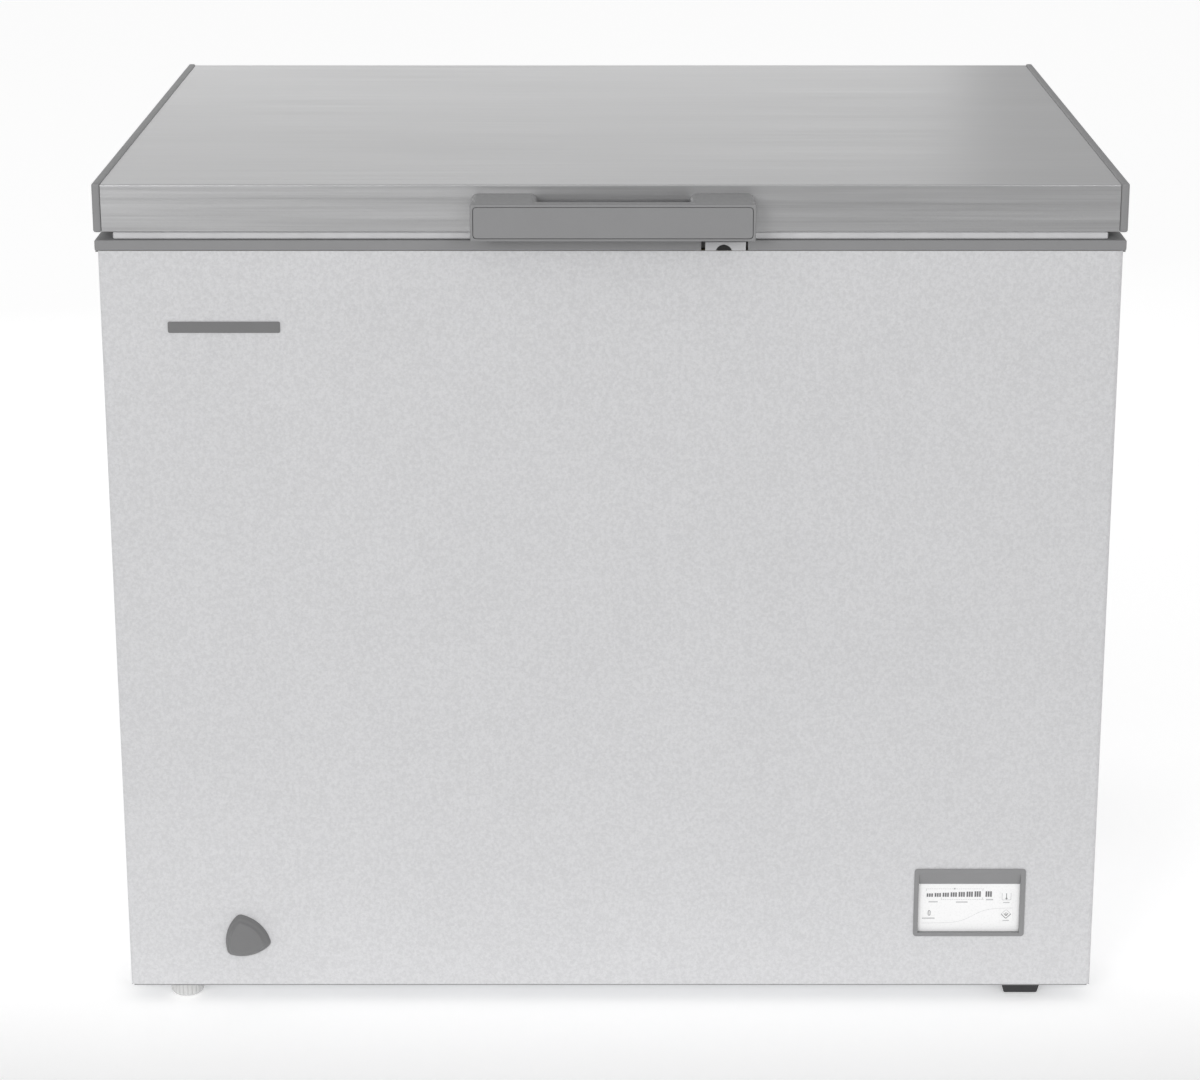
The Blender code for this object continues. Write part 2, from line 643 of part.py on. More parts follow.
# ---- control panel ------------------------------------------------------------------------------------
def make_controls():
    inset = 0.0017
    bezel = box("control_bezel", (BEZEL_LOW[0], BODY_FRONT - 0.0012, BEZEL_LOW[1]),
                (BEZEL_HIGH[0], BODY_FRONT - GAP, BEZEL_HIGH[1]), "grey_plastic")
    round_edges(bezel, 0.003, lambda centre, direction: abs(direction.y) > 0.99)
    body = box("join_bezel_body", (BEZEL_LOW[0] + inset, BODY_FRONT - 0.0006, BEZEL_LOW[1] + inset),
               (BEZEL_HIGH[0] - inset, FACE_Y - GAP, BEZEL_HIGH[1] - inset))
    deep, shallow = FACE_Y + 0.002, BODY_FRONT - 0.003
    hood = 0.0141
    slope = hood / (FACE_Y - BODY_FRONT + 0.0012)
    window = prism("cut_bezel_window", [
        (shallow, FACE_LOW[1]), (deep, FACE_LOW[1]), (deep, FACE_HIGH[1] - slope * 0.002),
        (shallow, FACE_HIGH[1] + slope * (FACE_Y - shallow)),
    ], FACE_LOW[0], FACE_HIGH[0], "X")
    cut(join(bezel, body), window)

    face = box("control_face", (FACE_LOW[0] - 0.0025, FACE_Y, FACE_LOW[1] - 0.0025),
               (FACE_HIGH[0] + 0.0025, FACE_Y + 0.0015, FACE_HIGH[1] + 0.0025), "face_white")
    board = box("control_board", (FACE_LOW[0], FACE_Y + 0.0055, FACE_LOW[1]),
                (FACE_HIGH[0], FACE_Y + 0.0071, FACE_HIGH[1] + 0.006), "board_green")
    for name, (x, z) in (("set_button", SET_BUTTON), ("freeze_button", FREEZE_BUTTON)):
        half = BUTTON / 2
        pivot = pivot_at("pivot_" + name, (x, FACE_Y, z))
        button = box(name, (x - half, FACE_Y, z - half), (x + half, FACE_Y + 0.0017, z + half), "face_white",
                     pivot)
        round_edges(button, 0.0015, lambda centre, direction: abs(direction.y) > 0.99, 2)
        hole = box("cut_" + name, (x - half - GAP, FACE_Y - 0.01, z - half - GAP),
                   (x + half + GAP, FACE_Y + 0.01, z + half + GAP))
        round_edges(hole, 0.0015, lambda centre, direction: abs(direction.y) > 0.99, 2)
        cut(face, hole)
        switch = box("join_switch_" + name, (x - 0.003, FACE_Y + 0.0029, z - 0.003),
                     (x + 0.003, FACE_Y + 0.006, z + 0.003))
        join(board, switch)


# ---- drain --------------------------------------------------------------------------------------------
def arc(centre, radius, middle, steps, ends):
    """Points over 60 degrees of a circle about a middle direction, with or without the two end points."""
    first, count = (0, steps) if ends else (1, steps - 1)
    points = []
    for step in range(first, count + 1):
        turn = middle + math.radians(60 * step / steps - 30)
        points.append(centre + radius * Vector((math.cos(turn), math.sin(turn))))
    return points


def reuleaux(centre, width, corner, first):
    """A rounded triangle of constant width: three wide arcs, each about the far tip, and three small ones."""
    core, outline = width - 2 * corner, []
    third = math.tau / 3
    for number in range(3):
        angle = first + number * third
        near = Vector((math.cos(angle), math.sin(angle))) * core / math.sqrt(3)
        far = Vector((math.cos(angle - third), math.sin(angle - third))) * core / math.sqrt(3)
        outline += arc(near, corner, angle, 5, True)
        outline += arc(far, core + corner, angle + third / 2, 7, False)
    return [(centre[0] + point.x, centre[1] + point.y) for point in outline]


def make_drain_channel():
    """The pipe from the tub's floor to the hole in the front."""
    route = fillet([(DRAIN_X, BODY_FRONT + 0.0002, DRAIN_Z), (DRAIN_X, DRAIN_Y, DRAIN_Z),
                    (DRAIN_X, DRAIN_Y, 0.0987)], 0.0095, 4)
    channel = pipe("drain_channel", route, CHANNEL_RADIUS, "white_plastic", 4, False)
    wall = channel.modifiers.new("wall", "SOLIDIFY")
    wall.thickness = CHANNEL_RADIUS - SPOUT_RADIUS - 0.0006
    wall.offset = -1


def make_drain_spout():
    """The spout that pulls out of the channel, and the knob that turns on its end."""
    pivot = pivot_at("pivot_drain", (DRAIN_X, BODY_FRONT, DRAIN_Z))
    spout = drain_rod("drain_spout", BODY_FRONT + 0.0002, -0.262, SPOUT_RADIUS, "knob_plastic", pivot)
    cut(spout, drain_rod("cut_spout", -0.36, -0.25, SPOUT_RADIUS - 0.0016))

    outline = reuleaux((DRAIN_X, DRAIN_Z), KNOB_WIDTH, KNOB_CORNER, KNOB_TURN)
    knob = prism("drain_knob", outline, BODY_FRONT - KNOB_DEPTH, BODY_FRONT - GAP, "Y", "knob_plastic", pivot)
    narrowing = 1 - 2 * KNOB_TAPER / KNOB_WIDTH
    for vert in knob.data.vertices:
        if vert.co.y < -KNOB_DEPTH / 2:
            vert.co.x *= narrowing
            vert.co.z *= narrowing
    stub = drain_rod("join_knob_stub", BODY_FRONT - 0.002, BODY_FRONT + 0.010, 0.0050)
    join(bevel(knob, 0.0012, 2, 50), stub)


def make_inner_drain_plug():
    pivot = pivot_at("pivot_inner_plug", (DRAIN_X, DRAIN_Y, TUB_FLOOR))
    profile = [(0, -0.011), (0.0064, -0.011), (0.0066, GAP), (0.015, GAP), (0.015, 0.0032), (0.0045, 0.0036),
               (0.0035, 0.010), (0.0055, 0.013), (0.0055, 0.016), (0, 0.017)]
    turned("inner_drain_plug", profile, (DRAIN_X, DRAIN_Y, TUB_FLOOR), "grey_plastic", pivot, 20)


# ---- lid ----------------------------------------------------------------------------------------------
def make_lid(pivot):
    side = WIDTH / 2 - CAP_WIDTH - GAP
    hem, low = 0.008, LID_LOW + 0.0005
    outline = [(LID_FRONT + hem, low, 0), (LID_FRONT, low, 0), (LID_FRONT, STEEL_TOP, 0),
               (LID_BACK - 0.0005, STEEL_TOP, 0), (LID_BACK - 0.0005, low, 0), (LID_BACK - hem, low, 0)]
    path = [(point.x, point.y) for point in fillet(outline, LID_FOLD, 4)]
    sheet("lid_skin", path, -side, side, "X", LID_SKIN, "lid_steel", pivot)

    for name, sign in (("lid_cap_left", -1), ("lid_cap_right", 1)):
        near, far = sign * (WIDTH / 2 - CAP_WIDTH), sign * WIDTH / 2
        cap = box(name, (min(near, far), LID_FRONT - 0.0008, LID_LOW), (max(near, far), LID_BACK, HEIGHT),
                  "grey_plastic", pivot)
        bevel(cap, 0.0022, 3)

    frame_low, frame_top = LID_LOW + GAP, LID_LOW + GAP + LID_LINER
    frame = box("lid_edge_frame", (-side, LID_FRONT + hem + GAP, frame_low),
                (side, LID_BACK - hem - GAP, frame_top), "liner_white", pivot)
    hole = box("cut_lid_frame", (-PLUG_HALF - GAP, PLUG_FRONT - GAP, 0.78),
               (PLUG_HALF + GAP, PLUG_BACK + GAP, 0.81))
    liner = box("lid_liner", (-PLUG_HALF, PLUG_FRONT, PLUG_LOW), (PLUG_HALF, PLUG_BACK, frame_top),
                "liner_white")
    hollow = box("cut_lid_plug", (-PLUG_HALF + LID_LINER, PLUG_FRONT + LID_LINER, PLUG_LOW + LID_LINER),
                 (PLUG_HALF - LID_LINER, PLUG_BACK - LID_LINER, 0.81))
    for shape in (hole, liner, hollow):
        round_edges(shape, 0.020, upright, 4)
    liner.data.transform(Matrix.Translation(-pivot.location))
    liner.parent = pivot
    cut(frame, hole)
    cut(liner, hollow)

    inset = LID_SKIN + 2 * GAP
    foam = box("lid_foam", (-side, LID_FRONT + inset, frame_top + GAP),
               (side, LID_BACK - 0.0005 - inset, STEEL_TOP - inset), "foam", pivot)
    round_edges(foam, 0.003, lambda centre, direction: abs(direction.x) > 0.99 and centre.z > 0, 1)
    within = LID_LINER + GAP
    core = box("join_foam_plug", (-PLUG_HALF + within, PLUG_FRONT + within, PLUG_LOW + within),
               (PLUG_HALF - within, PLUG_BACK - within, 0.81))
    round_edges(core, 0.020, upright, 4)
    join(foam, core)

    gasket = box("lid_gasket", (-SEAL_HALF, SEAL_FRONT, TRIM_TOP + GAP), (SEAL_HALF, SEAL_BACK, LID_LOW),
                 "gasket_rubber", pivot)
    inside = box("cut_gasket", (0.014 - SEAL_HALF, -0.3215, 0.78), (SEAL_HALF - 0.014, SEAL_BACK - 0.014, 0.81))
    lock = box("cut_gasket_lock", (0.1030, -0.36, 0.78), (0.1300, -0.3355, 0.81))
    cut(gasket, inside, lock)


def make_handle(pivot):
    front, bar_back = -DEPTH / 2, -DEPTH / 2 + BAR_DEPTH
    bar = box("handle_frame", (HANDLE_LEFT, front, HANDLE_LOW), (HANDLE_RIGHT, bar_back, HANDLE_TOP),
              "grey_plastic", pivot)
    bevel(bar, 0.0016, 2)
    rise = 0.0024
    for name, low, high in (("left", HANDLE_LEFT, -0.0695), ("right", 0.0755, HANDLE_RIGHT)):
        back = LID_FRONT - GAP
        foot = prism("join_handle_foot_" + name, [
            (bar_back - 0.004, HANDLE_LOW + 0.001), (back, HANDLE_LOW + 0.001),
            (back, HANDLE_TOP + rise), (bar_back - 0.004, HANDLE_TOP - 0.0004),
        ], low, high, "X")
        upper = HANDLE_LOW + 0.01
        round_edges(foot, 0.006, lambda centre, direction: abs(direction.y) > 0.9 and centre.z > upper, 4)
        join(bar, foot)
    recess = box("cut_handle_recess", (HANDLE_LEFT + 0.0024, front - 0.01, HANDLE_LOW + 0.0024),
                 (HANDLE_RIGHT - 0.0024, front + 0.003, HANDLE_TOP - 0.0024))
    round_edges(recess, INSERT_CORNER + GAP, lambda centre, direction: abs(direction.y) > 0.99)
    cut(bar, recess)
    insert = box("handle_insert", (HANDLE_LEFT + 0.0029, front, HANDLE_LOW + 0.0029),
                 (HANDLE_RIGHT - 0.0029, front + 0.0027, HANDLE_TOP - 0.0029), "grey_plastic", pivot)
    round_edges(insert, INSERT_CORNER, lambda centre, direction: abs(direction.y) > 0.99)


def make_hinge(name, x, pivot):
    """A sheet bracket on the cabinet, a pin across it, a spring inside it, and an arm under the lid."""
    cheek, wall, back, rear = 0.018, 0.0016, BODY_BACK + GAP, 0.3775
    bracket = box("hinge_bracket_" + name, (x - cheek, back, 0.700), (x + cheek, rear, 0.7765), "galvanised")
    inside = box("cut_bracket_" + name, (x - cheek + wall, back + wall, 0.69), (x + cheek - wall, 0.39, 0.80))
    ears = box("join_bracket_ears_" + name, (x - cheek, TRIM_BACK + GAP, 0.770), (x + cheek, rear, 0.7915))
    rod("hinge_pin_" + name, (x - cheek - 0.003, HINGE_Y, HINGE_Z), (x + cheek + 0.003, HINGE_Y, HINGE_Z),
        PIN_RADIUS, "chrome_steel", sides=20)
    hole = rod("cut_pin_" + name, (x - 0.05, HINGE_Y, HINGE_Z), (x + 0.05, HINGE_Y, HINGE_Z),
               PIN_RADIUS + 0.00025, sides=20)
    cut(join(bracket, ears), inside, hole)

    arm = box("hinge_arm_" + name, (x - 0.028, 0.3575, 0.7945), (x + 0.028, 0.3860, 0.7972), "galvanised",
              pivot)
    for side in (-1, 1):
        near, far = x + side * 0.0115, x + side * 0.0140
        ear = box("join_ear_%s_%d" % (name, side + 1), (min(near, far), HINGE_Y - 0.0055, HINGE_Z - 0.0055),
                  (max(near, far), HINGE_Y + 0.0055, 0.7955))
        round_edges(ear, 0.004, lambda centre, direction: abs(direction.x) > 0.99 and centre.z < HINGE_Z)
        join(arm, ear)
    cut(arm, hole)

    turns, steps, radius, low, length = 7, 12, 0.0065, 0.712, 0.046
    coil = []
    for step in range(turns * steps + 1):
        angle = math.tau * step / steps
        rise = length * step / (turns * steps)
        coil.append((x + radius * math.cos(angle), 0.3665 + radius * math.sin(angle), low + rise))
    pipe("hinge_spring_" + name, coil, 0.0011, "chrome_steel", resolution=1)


def make_lock(lid_pivot):
    front = BODY_FRONT - 0.0002
    housing = box("lock_housing", (0.0903, front, TRIM_LOW), (0.1289, front + 0.003, 0.7880), "light_plastic")
    moon = rod("cut_lock_moon", (LOCK_X, front - 0.01, 0.7776), (LOCK_X, front + 0.0018, 0.7776), 0.008,
               sides=32)
    bore = rod("cut_lock_bore", (LOCK_X, front - 0.01, LOCK_Z), (LOCK_X, front + 0.01, LOCK_Z),
               BARREL_RADIUS + 0.00025, sides=20)
    cut(housing, moon, bore)

    pivot = pivot_at("pivot_lock", (LOCK_X, front, LOCK_Z))
    barrel = rod("lock_barrel", (LOCK_X, front + 0.0007, LOCK_Z), (LOCK_X, -0.3385, LOCK_Z), BARREL_RADIUS,
                 "dark_plastic", pivot, 20)
    cut(barrel, box("cut_keyway", (LOCK_X - 0.0003, front - 0.01, LOCK_Z - 0.0015),
                    (LOCK_X + 0.0003, front + 0.003, LOCK_Z + 0.0015)))
    box("lock_cam", (LOCK_X - 0.0012, -0.3382, LOCK_Z - 0.0025), (LOCK_X + 0.0012, -0.3367, LOCK_Z + 0.0115),
        "galvanised", pivot)

    keeper = box("lock_keeper", (0.1205, -0.3400, 0.7803), (0.1217, -0.3362, 0.7972), "galvanised", lid_pivot)
    flange = box("join_keeper_flange", (0.1205, -0.3460, 0.7964), (0.1290, -0.3362, 0.7976))
    toe = box("join_keeper_toe", (0.1115, -0.3400, 0.7803), (0.1210, -0.3362, 0.7812))
    join(keeper, flange, toe)


def make_name_plate():
    plate = box("name_plate", (-0.4246, BODY_FRONT - 0.0011, 0.6995), (-0.3170, BODY_FRONT - GAP, 0.7105),
                "knob_plastic")
    round_edges(plate, 0.0015, lambda centre, direction: abs(direction.y) > 0.99)


def make_basket():
    """A tray that hangs by its two flanges in the trim's rebates."""
    pivot = pivot_at("pivot_basket", (BASKET_X[0], 0, BASKET_TOP))
    wall, front, back = 0.003, MOUTH_FRONT + 0.0045, MOUTH_BACK - 0.0045
    basket = box("basket", (BASKET_X[0], front, BASKET_LOW), (BASKET_X[1], back, BASKET_RIM), "wire_white",
                 pivot)
    flange = box("join_basket_flange", (BASKET_X[0] + 0.01, MOUTH_FRONT - 0.0092, 0.7853),
                 (BASKET_X[1] - 0.01, MOUTH_BACK + 0.0092, BASKET_RIM))
    inside = box("cut_basket", (BASKET_X[0] + wall, front + wall, BASKET_LOW + wall),
                 (BASKET_X[1] - wall, back - wall, 0.80))
    dip = box("cut_basket_dip", (BASKET_X[0] - 0.01, front + wall, BASKET_TOP),
              (BASKET_X[1] + 0.01, back - wall, 0.80))
    cut(join(basket, flange), inside, dip)


clear_scene()
FREEZER = new_collection("chest_freezer", False)
CUTTERS = new_collection("cutters", True)
SLOTS = {name: new_material(name) for name in MATERIALS}

make_wrapper()
make_back_panel()
make_base()
make_liner()
make_foam()
make_trim()
make_fixed_feet()
make_levelling_foot("front", FOOT_FRONT_Y)
make_levelling_foot("rear", FOOT_REAR_Y)
make_compressor()
make_evaporator()
make_condenser()
make_pipework()
make_vents()
make_controls()
make_drain_channel()
make_drain_spout()
make_inner_drain_plug()
LID = pivot_at("pivot_lid", (0, HINGE_Y, HINGE_Z))
make_lid(LID)
make_handle(LID)
make_hinge("left", -HINGE_X, LID)
make_hinge("right", HINGE_X, LID)
make_lock(LID)
make_name_plate()
make_basket()
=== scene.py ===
"""The looks of the chest freezer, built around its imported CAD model.

Every size is in metres in the CAD model's own frame: the front faces -Y, +X is to the right, +Z is up.
"""

import json
import math

import bmesh
import bpy
from mathutils import Matrix, Vector


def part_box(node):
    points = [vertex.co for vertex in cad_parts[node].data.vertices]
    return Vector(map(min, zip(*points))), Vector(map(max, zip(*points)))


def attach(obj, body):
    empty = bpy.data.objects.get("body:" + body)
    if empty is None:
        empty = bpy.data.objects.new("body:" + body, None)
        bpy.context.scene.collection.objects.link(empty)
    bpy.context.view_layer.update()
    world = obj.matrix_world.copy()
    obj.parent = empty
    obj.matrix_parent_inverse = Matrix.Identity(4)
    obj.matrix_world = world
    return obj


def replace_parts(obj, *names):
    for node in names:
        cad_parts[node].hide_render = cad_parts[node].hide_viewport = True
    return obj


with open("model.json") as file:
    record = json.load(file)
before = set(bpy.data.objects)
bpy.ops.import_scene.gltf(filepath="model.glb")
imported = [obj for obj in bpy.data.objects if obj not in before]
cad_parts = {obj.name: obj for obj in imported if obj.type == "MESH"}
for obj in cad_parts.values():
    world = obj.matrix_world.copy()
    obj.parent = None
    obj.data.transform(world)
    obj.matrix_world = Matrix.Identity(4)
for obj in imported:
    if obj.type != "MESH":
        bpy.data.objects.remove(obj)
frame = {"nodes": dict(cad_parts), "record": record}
NODES = frame["nodes"]
BODY_OF = {node: body for body, members in frame["record"]["behaviour"]["bodies"].items() for node in members}
SLOT_OF = {part["node"]: part["material_slot"] for part in frame["record"]["subparts"]}
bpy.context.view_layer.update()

# ---- camera -------------------------------------------------------------------------------------------
# The picture is 1200 x 1080: a long lens, above the lid, looking down at the front.
LENS = 95.9
CAMERA = (0.0, -3.3325, 1.419)
CAMERA_DOWN = 16.54
SHIFT = (-0.00875, -0.0333)

# ---- light --------------------------------------------------------------------------------------------
WORLD = 0.60
# The floor's colour is painted darker in front of the freezer, as painted shade that dims its reflection in
# the lid and its light on the panel.
# It has this share of its full brightness far in front, and rises to all of it between these two places in y.
FLOOR_SHADE_IN_FRONT = 0.54
FLOOR_SHADE_RISE = (-3.0, -0.55)
# Round and behind the freezer the floor also glows with this strength, which it gains between these two
# places in y. This is painted light that whitens the freezer's own shadow on the floor.
FLOOR_PAINTED_GLOW = 0.40
FLOOR_PAINTED_GLOW_RISE = (-0.72, -0.25)
# name, position, what it points at, size, power
LIGHTS = [
    ("key_left", (-1.9, -4.7, 1.9), (0, 0, 0.8), (1.8, 1.4), 64),
    ("fill_right", (2.1, -4.5, 2.3), (0, 0, 0.8), (1.5, 1.2), 32),
    ("rear_strip", (-0.75, 2.7, 1.16), (-0.2, 0.3, 0.86), (3.0, 0.6), 4.8),
]

# ---- finish of the edges: node -> (edge radius, bevel segments) ----------------------------------------
EDGES = {
    "cabinet_wrapper": (0.0003, 1),
    "top_trim_frame": (0.0010, 3),
    "lid_skin": (0.0, 1),
    "lid_cap_left": (0.0006, 2),
    "lid_cap_right": (0.0006, 2),
    "handle_frame": (0.0009, 3),
    "handle_insert": (0.0005, 3),
    "lock_housing": (0.0003, 2),
    "lock_barrel": (0.0001, 2),
    "name_plate": (0.0002, 2),
    "control_bezel": (0.0005, 3),
    "hinge_bracket_left": (0.0004, 2),
    "hinge_bracket_right": (0.0004, 2),
    "hinge_arm_left": (0.0005, 2),
    "hinge_arm_right": (0.0005, 2),
    "inner_liner": (0.0004, 2),
    "lid_liner": (0.0009, 3),
    "lid_edge_frame": (0.0003, 1),
    "lid_gasket": (0.0016, 3),
    "foot_front_right": (0.0015, 3),
    "foot_rear_right": (0.0015, 3),
    "compressor": (0.0, 1),
    "filter_drier": (0.0, 1),
    "terminal_box": (0.0008, 2),
    "power_inlet_gland": (0.0006, 2),
    "inner_drain_plug": (0.0005, 2),
    "hinge_pin_left": (0.0004, 2),
    "hinge_pin_right": (0.0004, 2),
    "back_panel": (0.0, 1),
}


# ---- materials ----------------------------------------------------------------------------------------
class Look:
    """A Principled material whose colour, roughness and height come from procedural patterns."""

    def __init__(self, name, colour, roughness, metallic=0.0, **constants):
        self.material = bpy.data.materials.new(name)
        self.material.use_nodes = True
        self.tree = self.material.node_tree
        self.shader = self.tree.nodes["Principled BSDF"]
        self.colour = colour
        self.shader.inputs["Base Color"].default_value = (*colour, 1)
        self.shader.inputs["Roughness"].default_value = roughness
        self.shader.inputs["Metallic"].default_value = metallic
        for socket, value in constants.items():
            self.shader.inputs[socket.replace("_", " ")].default_value = value
        self.height = None

    def node(self, kind, **values):
        made = self.tree.nodes.new(kind)
        for name, value in values.items():
            if name in made.inputs:
                made.inputs[name].default_value = value
            else:
                setattr(made, name, value)
        return made

    def link(self, source, target):
        self.tree.links.new(source, target)

    def place(self, stretch=(1, 1, 1)):
        coordinates = self.node("ShaderNodeTexCoord")
        mapping = self.node("ShaderNodeMapping", Scale=stretch)
        self.link(coordinates.outputs["Object"], mapping.inputs["Vector"])
        return mapping.outputs["Vector"]

    def noise(self, scale, detail=2.0, stretch=(1, 1, 1), roughness=0.5):
        texture = self.node("ShaderNodeTexNoise", Scale=scale, Detail=detail, Roughness=roughness)
        self.link(self.place(stretch), texture.inputs["Vector"])
        return texture.outputs["Fac"]

    def cells(self, scale):
        texture = self.node("ShaderNodeTexVoronoi", Scale=scale)
        self.link(self.place(), texture.inputs["Vector"])
        return texture.outputs["Distance"]

    def remap(self, pattern, spread, low, high):
        """The pattern with its spread turned into the range from low to high."""
        ramp = self.node("ShaderNodeMapRange")
        for name, value in zip(("From Min", "From Max", "To Min", "To Max"), (*spread, low, high)):
            ramp.inputs[name].default_value = value
        self.link(pattern, ramp.inputs["Value"])
        return ramp.outputs["Result"]

    def shade(self, pattern, low, high, spread=(0.3, 0.7)):
        """The base colour runs between two brightnesses of itself with the pattern."""
        share = self.remap(pattern, spread, low, high)
        mix = self.node("ShaderNodeMix", data_type="RGBA", blend_type="MULTIPLY")
        mix.inputs["Factor"].default_value = 1.0
        before = self.shader.inputs["Base Color"]
        if before.is_linked:
            self.link(before.links[0].from_socket, mix.inputs["A"])
        else:
            mix.inputs["A"].default_value = (*self.colour, 1)
        self.link(share, mix.inputs["B"])
        self.link(mix.outputs["Result"], before)
        return self

    def polish(self, pattern, low, high, spread=(0.3, 0.7)):
        """The roughness runs between two values with the pattern."""
        self.link(self.remap(pattern, spread, low, high), self.shader.inputs["Roughness"])
        return self

    def raise_by(self, pattern, strength, distance):
        """The pattern lifts the surface, on top of any relief it already has."""
        bump = self.node("ShaderNodeBump", Strength=strength, Distance=distance)
        self.link(pattern, bump.inputs["Height"])
        if self.height is not None:
            self.link(self.height, bump.inputs["Normal"])
        self.height = bump.outputs["Normal"]
        self.link(self.height, self.shader.inputs["Normal"])
        return self


def stucco_paint():
    """Pale grey enamel on embossed sheet: small shallow pimples with a fine grain and a faint mottling."""
    look = Look("stucco_paint", (0.655, 0.655, 0.667), 0.5, Specular_IOR_Level=0.35)
    pimples = look.noise(300, 1.0)
    grain = look.noise(800, 2.0)
    look.shade(pimples, 0.955, 1.04, (0.35, 0.65))
    look.shade(grain, 0.965, 1.03, (0.35, 0.65))
    look.shade(look.noise(9, 3.0), 0.99, 1.01)
    look.raise_by(pimples, 0.55, 0.0006)
    return look.polish(look.noise(60, 2.0), 0.46, 0.56)


def brushed_steel():
    """Stainless sheet brushed from side to side: long thin scratches over broad soft bands."""
    look = Look("brushed_steel", (0.535, 0.535, 0.54), 0.33, 1.0)
    scratches = look.noise(1.0, 5.0, (5, 900, 900), 0.65)
    streaks = look.noise(1.0, 4.0, (2.2, 160, 160), 0.6)
    bands = look.noise(1.0, 2.0, (0.9, 14, 14), 0.5)
    look.shade(scratches, 0.93, 1.06)
    look.shade(streaks, 0.95, 1.04)
    look.shade(bands, 0.985, 1.015)
    look.polish(streaks, 0.30, 0.40)
    return look.raise_by(scratches, 0.12, 0.0001)


def moulded_plastic(name, colour, roughness, grain=0.10, **constants):
    look = Look(name, colour, roughness, **constants)
    fine = look.noise(1900, 3.0)
    look.shade(fine, 0.97, 1.03)
    look.shade(look.noise(30, 3.0), 0.985, 1.015)
    look.polish(look.noise(240, 3.0), roughness - 0.05, roughness + 0.06)
    return look.raise_by(fine, grain, 0.0002)


def soft_rubber(name, colour):
    look = Look(name, colour, 0.6, Specular_IOR_Level=0.3)
    look.shade(look.noise(55, 4.0), 0.95, 1.04)
    look.polish(look.noise(300, 3.0), 0.55, 0.72)
    return look.raise_by(look.noise(900, 3.0), 0.12, 0.0002)


def white_liner():
    """White lacquered aluminium with a shallow orange-peel emboss."""
    look = Look("white_liner", (0.80, 0.81, 0.815), 0.35, Specular_IOR_Level=0.45)
    emboss = look.noise(210, 2.0)
    look.shade(look.noise(12, 3.0), 0.985, 1.012)
    look.polish(emboss, 0.32, 0.42)
    return look.raise_by(emboss, 0.25, 0.0006)


def galvanised_sheet():
    """Zinc-coated steel, with its patchwork of dull and bright crystals."""
    look = Look("galvanised_sheet", (0.50, 0.51, 0.53), 0.42, 0.85)
    crystals = look.cells(110)
    look.shade(crystals, 0.86, 1.08, (0.0, 0.8))
    look.shade(look.noise(25, 4.0), 0.95, 1.04)
    look.polish(crystals, 0.34, 0.52, (0.0, 0.8))
    return look.raise_by(look.noise(500, 3.0), 0.06, 0.0002)


def expanded_foam():
    look = Look("expanded_foam", (0.80, 0.70, 0.45), 0.9)
    look.shade(look.noise(160, 4.0), 0.88, 1.05)
    return look.raise_by(look.cells(700), 0.5, 0.0008)


def lacquered_black():
    look = Look("lacquered_black", (0.018, 0.018, 0.019), 0.34, Specular_IOR_Level=0.5)
    look.shade(look.noise(18, 4.0), 0.85, 1.25)
    look.polish(look.noise(90, 3.0), 0.28, 0.42)
    return look.raise_by(look.noise(350, 2.0), 0.12, 0.0004)


def copper_tube():
    look = Look("copper_tube", (0.72, 0.36, 0.22), 0.3, 1.0)
    look.shade(look.noise(60, 4.0), 0.78, 1.08)
    look.polish(look.noise(140, 3.0), 0.24, 0.42)
    return look.raise_by(look.noise(600, 2.0), 0.05, 0.0001)


def face_film():
    """The control panel's printed film: white and smooth."""
    look = Look("face_film", (0.96, 0.96, 0.96), 0.28, Specular_IOR_Level=0.5)
    look.shade(look.noise(70, 2.0), 0.995, 1.004)
    look.polish(look.noise(500, 2.0), 0.25, 0.32)
    return look.raise_by(look.noise(1200, 2.0), 0.03, 0.0001)


def circuit_board():
    look = Look("circuit_board", (0.03, 0.16, 0.06), 0.45)
    look.shade(look.cells(260), 0.6, 1.4, (0.0, 0.9))
    return look.polish(look.noise(400, 2.0), 0.35, 0.55)


def bright_steel():
    look = Look("bright_steel", (0.62, 0.62, 0.63), 0.2, 1.0)
    look.shade(look.noise(500, 4.0), 0.92, 1.04)
    return look.polish(look.noise(900, 3.0), 0.14, 0.3)


def coated_wire():
    """Wire dipped in white polyethylene."""
    look = Look("coated_wire", (0.80, 0.80, 0.795), 0.32, Specular_IOR_Level=0.5)
    look.shade(look.noise(90, 3.0), 0.97, 1.02)
    look.polish(look.noise(260, 3.0), 0.26, 0.4)
    return look.raise_by(look.noise(420, 2.0), 0.10, 0.0003)


def printing_ink(name, colour):
    look = Look(name, colour, 0.5)
    look.shade(look.noise(900, 2.0), 0.94, 1.06)
    return look


LOOKS = {
    "body_paint": stucco_paint(),
    "lid_steel": brushed_steel(),
    "grey_plastic": moulded_plastic("grey_plastic", (0.266, 0.266, 0.270), 0.5),
    "light_plastic": moulded_plastic("light_plastic", (0.55, 0.55, 0.56), 0.5),
    "knob_plastic": moulded_plastic("knob_plastic", (0.185, 0.185, 0.187), 0.48),
    "dark_plastic": moulded_plastic("dark_plastic", (0.035, 0.035, 0.037), 0.55),
    "white_plastic": moulded_plastic("white_plastic", (0.64, 0.64, 0.635), 0.42, 0.05),
    "gasket_rubber": soft_rubber("gasket_rubber", (0.64, 0.64, 0.65)),
    "black_rubber": soft_rubber("black_rubber", (0.022, 0.022, 0.023)),
    "liner_white": white_liner(),
    "foam": expanded_foam(),
    "galvanised": galvanised_sheet(),
    "compressor_black": lacquered_black(),
    "copper": copper_tube(),
    "face_white": face_film(),
    "board_green": circuit_board(),
    "chrome_steel": bright_steel(),
    "wire_white": coated_wire(),
}
INK = printing_ink("print_grey", (0.15, 0.15, 0.155))
PALE_INK = printing_ink("print_pale", (0.50, 0.50, 0.51))
# near-black painted shade, for the lock's recess floor and its barrel
RECESS_PAINTED_SHADE = printing_ink("recess_painted_shade", (0.006, 0.006, 0.006))


